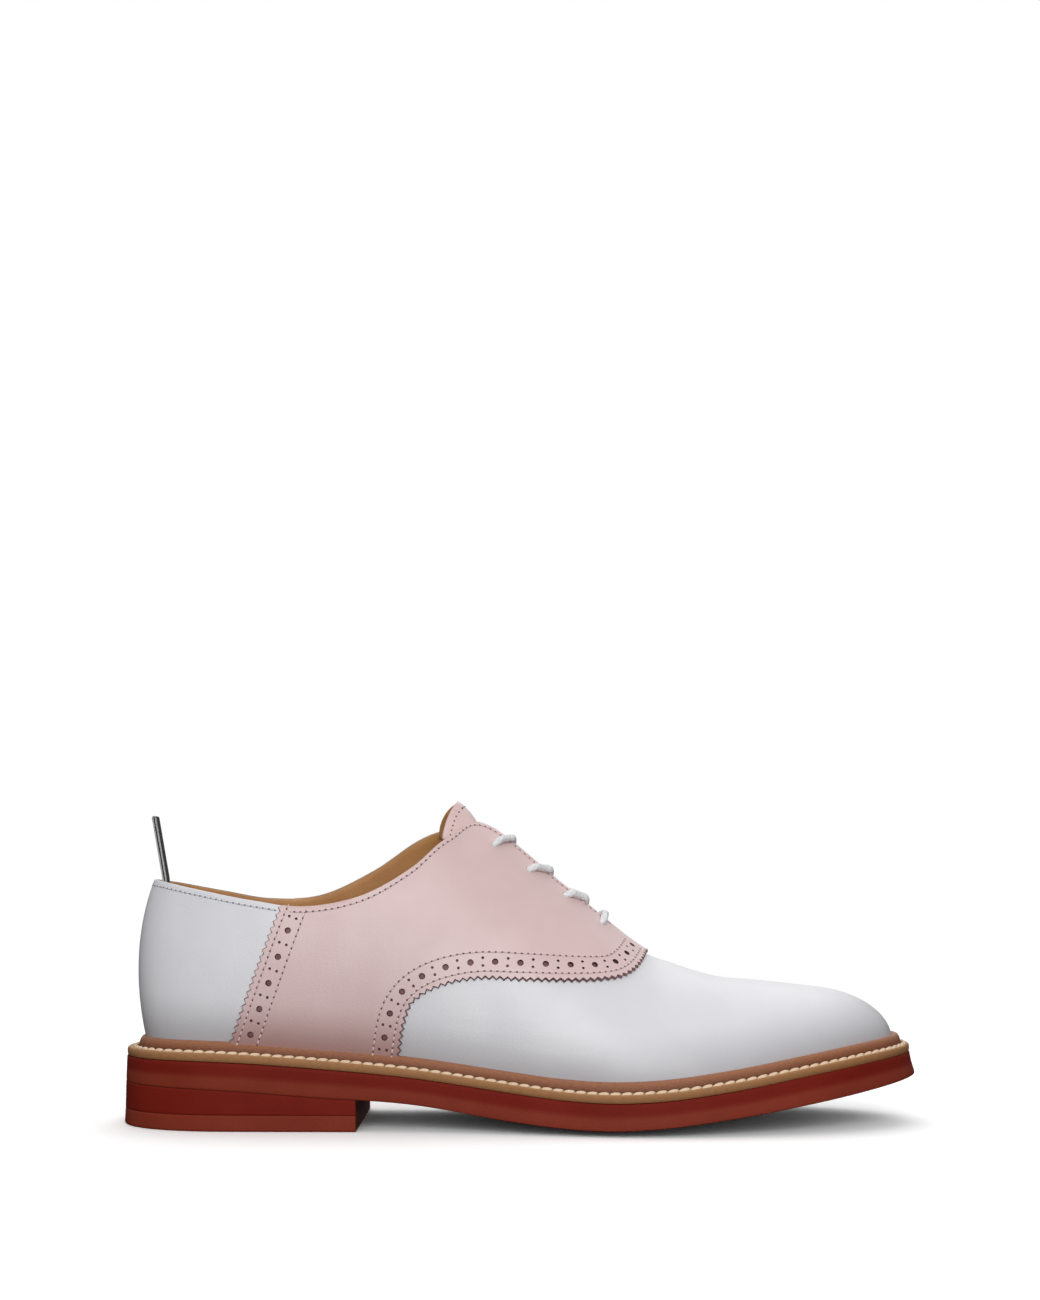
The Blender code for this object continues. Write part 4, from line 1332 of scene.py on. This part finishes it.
tip = placed(surface(LATERAL, section_topping(BRIDGE_END_X), 1.0))
front_lines = [front_half(LATERAL), front_half(MEDIAL)[::-1]]
rear_lines = [rear_line(LATERAL)[::-1], rear_line(MEDIAL)]
trimmer = bmesh.new()
for line in (front_lines[0] + [tip] + front_lines[1], *rear_lines):
    lay_trim(trimmer, line)
close_up(trimmer)
bands = [Band(line, side, FRONT_HOLE_PITCH, FRONT_HOLE_START) for line, side in zip(front_lines, SIDES)]
bands += [Band(line, side, REAR_HOLE_PITCH, REAR_HOLE_START) for line, side in zip(rear_lines, SIDES)]
for band in bands:
    row = inner_line(band, LARGE_HOLE_INSET)
    if band.side == MEDIAL:
        row.reverse()
    for point, along in spaced(row, band.pitch, band.start):
        punch(trimmer, point, upper_normal(point), LARGE_HOLE)
    for point, along in spaced(row, band.pitch, (band.start + band.pitch / 2) % band.pitch):
        for offset in SMALL_HOLE_OFFSETS:
            punch(trimmer, *inside_edge(point, along, offset), SMALL_HOLE)
eyelet_ribs = {}
for eyelet in EYELETS:
    place = section_at(LATERAL, eyelet.x, eyelet.z)
    height = height_at(LATERAL, place, eyelet.z)
    eyelet_ribs[eyelet.name] = (place, height)
    for side in SIDES:
        normal = Vector(outward(side, place, height))
        punch(trimmer, placed(surface(side, place, height)), normal, EYELET_HOLE)

PINK_FINISH = Finish((0.78, 0.585, 0.575), (0.74, 0.545, 0.535), 0.42, 1400.0, 0.03, 0.1)
# Painted shade darkens the pink leather towards the welt, as it does the white.
PINK_PAINTED_SHADE = Shade("above_sole", PAINTED_SHADE_LOW, PAINTED_SHADE_HIGH, (0.5, 0.37, 0.345))
EDGE_FINISH = Finish((0.24, 0.14, 0.145), (0.17, 0.09, 0.095), 0.6, 1400.0, 0.05)
# The holes' walls are near black: painted shade inside the punched holes. Their floors are lighter.
HOLE_SHADE_FINISH = Finish((0.09, 0.03, 0.032), (0.06, 0.02, 0.022), 0.7, 1400.0, 0.03)
PALE_FINISH = Finish((0.82, 0.6, 0.51), (0.74, 0.52, 0.43), 0.6, 1200.0, 0.05)
FLOOR_FINISH = Finish((0.26, 0.12, 0.12), (0.18, 0.08, 0.08), 0.7, 1400.0, 0.03)
# The needle holes are low dark dots between the stitches: painted shade in the holes.
NEEDLE_SHADE_FINISH = Finish((0.2, 0.11, 0.115), (0.16, 0.08, 0.085), 0.7, 1400.0, 0.02)
PINK_LEATHER = make_grained("pink_leather", PINK_FINISH, PINK_PAINTED_SHADE)
PALE_EDGE = make_grained("pale_edge", PALE_FINISH)
NEEDLE_HOLE_SHADE = make_grained("needle_hole", NEEDLE_SHADE_FINISH)
SADDLE_FINISHES = {
    LEATHER: PINK_LEATHER,
    CUT_FACE: make_grained("pink_edge", EDGE_FINISH),
    HOLE_WALL: make_grained("hole_wall_shade", HOLE_SHADE_FINISH),
    COLLAR_FACE: PALE_EDGE,
    HOLE_END: make_grained("hole_floor", FLOOR_FINISH),
}
saddle_mesh = bmesh.new()
for side in SIDES:
    lay_saddle(saddle_mesh, side)
close_up(saddle_mesh)
saddle = add_piece("brogued_saddle", saddle_mesh, SADDLE_FINISHES.values(), ["saddle"])
trim_data = bpy.data.meshes.new("trimmer")
trimmer.to_mesh(trim_data)
trimmer.free()
for made in SADDLE_FINISHES.values():
    trim_data.materials.append(made)
trim_tool = bpy.data.objects.new("trimmer", trim_data)
bpy.context.scene.collection.objects.link(trim_tool)
cut = saddle.modifiers.new("trim", "BOOLEAN")
cut.operation = "DIFFERENCE"
cut.solver = "MANIFOLD"
cut.object = trim_tool
graph = bpy.context.evaluated_depsgraph_get()
saddle.data = bpy.data.meshes.new_from_object(saddle.evaluated_get(graph))
saddle.modifiers.clear()
saddle.data.shade_smooth()
saddle.data.set_sharp_from_angle(angle=math.radians(SHARP_ANGLE))
mark_height(saddle)
bpy.data.objects.remove(trim_tool)

PINK_THREAD = make_thread("pink_thread", (0.86, 0.68, 0.66))
seams = []
for band in bands:
    for inset in STITCH_INSETS:
        row = inner_line(band, inset)
        seams.append(seam([point + upper_normal(point) * STITCH_LIFT * MM for point in row], STITCH_PITCH))
for sign in (-1, 1):
    ends = (sign * COLLAR_START, sign * FACING_END)
    seams.append(seam(top_line(ends, COLLAR_STITCH_DROP, STITCH_LIFT, FACING_STEPS), COLLAR_STITCH_PITCH))
thread_spots = [spot for threads, needles in seams for spot in threads]
needle_spots = [spot for threads, needles in seams for spot in needles]
sew("saddle_stitches", thread_spots, THREAD_SIZE, PINK_THREAD)
sew("saddle_needle_holes", needle_spots, NEEDLE_SIZE, NEEDLE_HOLE_SHADE)


# Tongue. A shaped flap of pink calf lined in tan leather, sewn into the vamp at its front and free above the
# top eyelets. It lies under both facings.
TONGUE_THICKNESS = 1.8
TONGUE_CLEAR = 0.9
TONGUE_SHARE = 0.22
TONGUE_FRONT_SECTION = 10.5
TONGUE_TOP_SECTION = 8.0
TONGUE_LENGTH_ROWS = 48
TONGUE_FREE_ROWS = 16
TONGUE_HALF_COLUMNS = 14
TONGUE_STITCH_ROW = 3
TONGUE_STITCH_START = 1.0
TONGUE_MIDDLE_TOP = (-8.7, 0.0, 12.4)
TONGUE_SIDE_TOP = {LATERAL: (-13.4, 1.8, 11.2), MEDIAL: (-16.5, -3.4, 11.6)}
TONGUE_BELLY = {LATERAL: (-0.3, 1.5, 0.0), MEDIAL: (-1.8, -1.0, 0.0)}
TONGUE_BOW = (1.3, 0.0, 0.4)
TONGUE_BOW_WIDTH = 0.25
TONGUE_SINK = -(UPPER_WALL + TONGUE_CLEAR)


def tongue_row(place):
    """Points across the tongue under one section, from the outer side to the inner."""
    spread = [i / TONGUE_HALF_COLUMNS for i in range(1, TONGUE_HALF_COLUMNS + 1)]
    halves = {}
    for side in SIDES:
        halves[side] = [lifted(side, place, 1 - TONGUE_SHARE * width, TONGUE_SINK) for width in spread]
    edges = [lifted(side, place, 1.0, TONGUE_SINK) for side in SIDES]
    return halves[LATERAL][::-1] + [sum(edges) / 2] + halves[MEDIAL]


tongue_rows = []
for i in range(TONGUE_LENGTH_ROWS + 1):
    share = i / TONGUE_LENGTH_ROWS
    place = TONGUE_FRONT_SECTION + (TONGUE_TOP_SECTION - TONGUE_FRONT_SECTION) * share
    tongue_rows.append(tongue_row(place))
base = tongue_rows[-1]
for i in range(1, TONGUE_FREE_ROWS + 1):
    row = []
    for j, point in enumerate(base):
        width = (j - TONGUE_HALF_COLUMNS) / TONGUE_HALF_COLUMNS
        side = LATERAL if width < 0 else MEDIAL
        width = abs(width)
        lead = (1 - width) * np.array(TONGUE_MIDDLE_TOP) + width * np.array(TONGUE_SIDE_TOP[side])
        lead += 4 * width * (1 - width) * np.array(TONGUE_BELLY[side])
        bowed = max(0.0, 1 - width / TONGUE_BOW_WIDTH) * math.sin(math.pi * i / TONGUE_FREE_ROWS)
        row.append(point + lead * i / TONGUE_FREE_ROWS + bowed * np.array(TONGUE_BOW))
    tongue_rows.append(row)
tongue_mesh = bmesh.new()
lay_grid(tongue_mesh, tongue_rows[::-1])
close_up(tongue_mesh, turn_out=False)
tongue_mesh.normal_update()
TONGUE_SURFACE = BVHTree.FromBMesh(tongue_mesh)
tongue = add_piece("lined_tongue", tongue_mesh, [PINK_LEATHER, LINING, PALE_EDGE], ["tongue"])
mark_height(tongue)
wall = tongue.modifiers.new("wall", "SOLIDIFY")
wall.thickness = TONGUE_THICKNESS * MM
wall.offset = -1.0
wall.use_even_offset = True
wall.material_offset = 1
wall.material_offset_rim = 2
tongue_line = [placed(point) for point in tongue_rows[-1 - TONGUE_STITCH_ROW]]
# Dark dots at the needle holes, painted shade, as on the saddle.
tongue_needles = []
for point, along in spaced(tongue_line, COLLAR_STITCH_PITCH, TONGUE_STITCH_START):
    tongue_needles.append((point, along, TONGUE_SURFACE.find_nearest(point)[1]))
sew("tongue_needle_holes", tongue_needles, NEEDLE_SIZE, NEEDLE_HOLE_SHADE)


# Lace. One round braided white cotton cord about 3 mm thick. From the lowest bar it runs up inside the
# facings, comes out of the throat on the other side and goes down into the next eyelet.
LACE_RADIUS = 1.4
LACE_AROUND = 14
LACE_STEPS = 12
LACE_PRESS = 0.1
LACE_LIFT = SADDLE_LIFT + LACE_RADIUS - LACE_PRESS
EYELET_LEVELS = (-1.5, 0.6)
FACING_SHARES = (0.22, 0.45, 0.7, 0.92)
CROSS_LEVELS = {LATERAL: 0.9, MEDIAL: -1.8}
CROSS_AHEAD = 0.02
UNDER_AHEAD = 0.06
UNDER_HEIGHT = 0.985
UNDER_DROP = 3.2
COTTON_ROUGHNESS = 0.8
# The braid's darker tone lies in its grooves: painted shade.
COTTON_TONES = ((0.76, 0.76, 0.78), (0.88, 0.88, 0.89))
BRAID_SCALE = 0.5
BRAID_REPEAT = 12.0
BRAID_SLANT = 4.0
BRAID_DEPTH = 0.15


def make_braid():
    """White braided cord: two sets of slanting strands on the cord's own map, as tone and bump."""
    made, tree, shader = start_material("lace_cotton", Roughness=COTTON_ROUGHNESS)
    place = add_node(tree, "TexCoord")
    over = add_node(tree, "Math")
    over.operation = "MAXIMUM"
    for i, slant in enumerate((BRAID_SLANT, -BRAID_SLANT)):
        turned = add_node(tree, "Mapping", Scale=(BRAID_REPEAT, slant, 1.0))
        strands = add_node(tree, "TexWave", Scale=BRAID_SCALE)
        strands.bands_direction = "DIAGONAL"
        wire(
            tree,
            (place, "UV", turned, "Vector"),
            (turned, "Vector", strands, "Vector"),
            (strands, "Fac", over, i),
        )
    add_relief(tree, shader, over, "Value", COTTON_TONES, BRAID_DEPTH)
    return made


LACE_COTTON = make_braid()


def smooth_path(points):
    """A smooth curve through points."""
    ends = [2 * points[0] - points[1], *points, 2 * points[-1] - points[-2]]
    path = []
    for before, start, end, after in zip(ends, ends[1:], ends[2:], ends[3:]):
        for i in range(LACE_STEPS):
            path.append(hermite(i / LACE_STEPS, start, end, (end - before) / 2, (after - start) / 2))
    return [*path, points[-1]]


def lay_cord(mesh, points):
    """The round lace along a smooth curve through points, with closed ends."""
    path = smooth_path(points)
    directions = np.gradient(np.array(path), axis=0)
    side = np.array((0.0, 1.0, 0.0))
    rings = []
    for point, along in zip(path, directions):
        along = along / np.linalg.norm(along)
        side = side - along * np.dot(side, along)
        side = side / np.linalg.norm(side)
        up = np.cross(along, side)
        ring = []
        for i in range(LACE_AROUND + 1):
            angle = 2 * math.pi * (i % LACE_AROUND) / LACE_AROUND
            ring.append(point + LACE_RADIUS * (math.cos(angle) * side + math.sin(angle) * up))
        rings.append(ring)
    lay_grid(mesh, capped(rings))


def facing_route(side, eyelet):
    """From inside an eyelet over the facing to its edge."""
    place, height = eyelet_ribs[eyelet.name]
    meet = section_topping(eyelet.cross_x)
    points = [lifted(side, place, height, level) for level in EYELET_LEVELS]
    for f in FACING_SHARES:
        points.append(lifted(side, place + (meet - place) * f, height + (1 - height) * f, LACE_LIFT))
    return points


def over_throat(place, level):
    """The point midway between the two facings' edges."""
    return sum(lifted(side, place, 1.0, level) for side in SIDES) / 2


for eyelet in EYELETS:
    cord = bmesh.new()
    meet = section_topping(eyelet.cross_x)
    if eyelet.name == "lace_bar":
        near, far = (facing_route(side, eyelet) for side in SIDES)
        lay_cord(cord, [*near, over_throat(meet, LACE_LIFT), *far[::-1]])
    else:
        for side, level in CROSS_LEVELS.items():
            centre = over_throat(meet + CROSS_AHEAD, level)
            under = lifted(-side, meet + UNDER_AHEAD, UNDER_HEIGHT, level - UNDER_DROP)
            lay_cord(cord, [*facing_route(side, eyelet), centre, under])
    close_up(cord)
    add_piece("cotton_" + eyelet.name, cord, [LACE_COTTON], [eyelet.name], ALL_SMOOTH)


# Pull loop. A folded grosgrain ribbon sewn inside the back of the collar, black with pale selvedges. Its two
# layers stand up above the collar and lean back.
LOOP_WIDTH = 7.0
LOOP_RIBBON = 0.6
LOOP_SLOT = 0.5
LOOP_BASE_X = -137.1
LOOP_FOOT_Z = 82.0
LOOP_COLLAR_Z = 92.5
LOOP_TOP_Z = 117.0
LOOP_TOP_X = -141.3
LOOP_BEND_STEPS = 14
LOOP_LEG_STEPS = 18
SELVEDGE_WIDTH = 0.5
RIB_SCALE = 90.0
RIB_DEPTH = 0.15
RIBBON_BLACK = (0.012, 0.012, 0.014)
RIBBON_PALE = (0.6, 0.6, 0.61)


def make_ribbon():
    """Ribbed ribbon: fine cross ribs along its map, and pale selvedges at its edges."""
    made, tree, shader = start_material("ribbon", Roughness=COTTON_ROUGHNESS)
    place = add_node(tree, "TexCoord")
    parts = add_node(tree, "SeparateXYZ")
    edge = add_node(tree, "Math")
    edge.operation = "ABSOLUTE"
    black_end = LOOP_WIDTH / 2 - SELVEDGE_WIDTH
    pale_start = LOOP_WIDTH / 2 - SELVEDGE_WIDTH / 2
    pale = add_node(tree, "MapRange", From_Min=black_end * MM, From_Max=pale_start * MM)
    tone = add_tones(tree, Tone(0.0, RIBBON_BLACK), Tone(1.0, RIBBON_PALE))
    ribs = add_node(tree, "TexWave", Scale=RIB_SCALE)
    bump = add_node(tree, "Bump", Distance=RIB_DEPTH * MM)
    wire(
        tree,
        (place, "Object", parts, "Vector"),
        (parts, "Y", edge, 0),
        (edge, "Value", pale, "Value"),
        (pale, "Result", tone, "Fac"),
        (place, "UV", ribs, "Vector"),
        (ribs, "Fac", bump, "Height"),
        (tone, "Color", shader, "Base Color"),
        (bump, "Normal", shader, "Normal"),
    )
    return made


def loop_outline(radius):
    """The ribbon's outer or inner line: up the back leg, round the top and down the front leg."""
    lean = (LOOP_TOP_X - LOOP_BASE_X) / (LOOP_TOP_Z - LOOP_COLLAR_Z)
    bend_z = LOOP_TOP_Z - LOOP_RIBBON - LOOP_SLOT / 2

    def middle_x(z):
        return LOOP_BASE_X + lean * max(0.0, z - LOOP_COLLAR_Z)

    leg = [LOOP_FOOT_Z + (bend_z - LOOP_FOOT_Z) * i / LOOP_LEG_STEPS for i in range(LOOP_LEG_STEPS)]
    points = [(middle_x(z) - radius, z) for z in leg]
    for i in range(LOOP_BEND_STEPS + 1):
        angle = math.pi * (1 - i / LOOP_BEND_STEPS)
        points.append((middle_x(bend_z) + radius * math.cos(angle), bend_z + radius * math.sin(angle)))
    return points + [(middle_x(z) + radius, z) for z in reversed(leg)]


loop_columns = []
for outer, inner in zip(loop_outline(LOOP_RIBBON + LOOP_SLOT / 2), loop_outline(LOOP_SLOT / 2)):
    ring = []
    for x, z, y in ((*outer, -1), (*inner, -1), (*inner, 1), (*outer, 1), (*outer, -1)):
        ring.append(np.array((x, y * LOOP_WIDTH / 2, z)))
    loop_columns.append(ring)
add_grid_piece("ribbon_pull_loop", capped(loop_columns), make_ribbon(), "pull_loop")


# Floor and light. A plain white studio floor, with a large soft lamp in front, two weaker ones behind and a
# dim white dome overhead, so that the shoe's only shadow lies beneath it.
FLOOR_SIZE = 4.0
FLOOR_NEAR = 0.3
FLOOR_FAR = 0.7
FLOOR_WHITE = (1.4, 1.4, 1.4, 1.0)
DOME_WHITE = (1.0, 1.0, 1.0, 1.0)
DOME_STRENGTH = 0.5
DOME_START = 0.0
DOME_FULL = 0.35
LAMP_SIZE = 1.3
LAMP_AIM = (0.0, 0.0, 0.05)
Lamp = namedtuple("Lamp", "name place watts")
LAMPS = (
    Lamp("back", (0.1, 0.9, 1.3), 7.0),
    Lamp("front", (0.05, -1.7, 0.5), 22.0),
    Lamp("fill", (0.0, 1.7, 0.5), 4.0),
)

floor_mesh = bmesh.new()
bmesh.ops.create_grid(floor_mesh, x_segments=1, y_segments=1, size=FLOOR_SIZE)
floor_data = bpy.data.meshes.new("floor")
floor_mesh.to_mesh(floor_data)
floor_mesh.free()
floor = bpy.data.objects.new("floor", floor_data)
bpy.context.scene.collection.objects.link(floor)
paper, paper_tree, unused_shader = start_material("floor_paper")
paper_tree.nodes.remove(unused_shader)
paper_place = add_node(paper_tree, "TexCoord")
reach = add_node(paper_tree, "VectorMath")
reach.operation = "LENGTH"
far = add_node(paper_tree, "MapRange", From_Min=FLOOR_NEAR, From_Max=FLOOR_FAR)
near_paper = add_node(paper_tree, "BsdfDiffuse", Color=FLOOR_WHITE)
far_glow = add_node(paper_tree, "Emission")
blend = add_node(paper_tree, "MixShader")
wire(
    paper_tree,
    (paper_place, "Object", reach, 0),
    (reach, "Value", far, "Value"),
    (far, "Result", blend, "Fac"),
    (near_paper, "BSDF", blend, 1),
    (far_glow, "Emission", blend, 2),
    (blend, "Shader", paper_tree.nodes["Material Output"], "Surface"),
)
floor_data.materials.append(paper)
floor.visible_diffuse = False
floor.visible_glossy = False

for lamp in LAMPS:
    light = bpy.data.lights.new(lamp.name, "AREA")
    light.size = LAMP_SIZE
    light.energy = lamp.watts
    holder = bpy.data.objects.new(lamp.name, light)
    holder.location = lamp.place
    holder.rotation_euler = (Vector(LAMP_AIM) - Vector(lamp.place)).to_track_quat("-Z", "Y").to_euler()
    bpy.context.scene.collection.objects.link(holder)

world = bpy.data.worlds.new("studio")
bpy.context.scene.world = world
world.use_nodes = True
sky = world.node_tree
white = set_inputs(sky.nodes["Background"], Color=DOME_WHITE, Strength=1.0)
dim = add_node(sky, "Background", Color=DOME_WHITE)
direction = add_node(sky, "TexCoord")
rise = add_node(sky, "SeparateXYZ")
dome = add_node(sky, "MapRange", From_Min=DOME_START, From_Max=DOME_FULL, To_Max=DOME_STRENGTH)
seen = add_node(sky, "LightPath")
choice = add_node(sky, "MixShader")
wire(
    sky,
    (direction, "Generated", rise, "Vector"),
    (rise, "Z", dome, "Value"),
    (dome, "Result", dim, "Strength"),
    (seen, "Is Camera Ray", choice, "Fac"),
    (dim, "Background", choice, 1),
    (white, "Background", choice, 2),
    (choice, "Shader", sky.nodes["World Output"], "Surface"),
)
bpy.context.scene.view_settings.view_transform = "Standard"


# Camera. It stands level beside the outer side of the shoe, as in the photograph, with the picture shifted up
# so that the shoe sits low in the frame.
FOCAL_PIXELS = 1931.0
PICTURE_HEIGHT = 1300.0
HORIZON_PIXEL = 868.0
SENSOR = 36.0
CAMERA_PLACE = (-0.0006, -0.745, 0.097)
camera_data = bpy.data.cameras.new("camera")
camera_data.sensor_width = SENSOR
camera_data.lens = SENSOR * FOCAL_PIXELS / PICTURE_HEIGHT
camera_data.shift_y = (HORIZON_PIXEL - PICTURE_HEIGHT / 2) / PICTURE_HEIGHT
camera = bpy.data.objects.new("camera", camera_data)
camera.location = CAMERA_PLACE
camera.rotation_euler = (math.pi / 2, 0.0, 0.0)
bpy.context.scene.collection.objects.link(camera)
bpy.context.scene.camera = camera
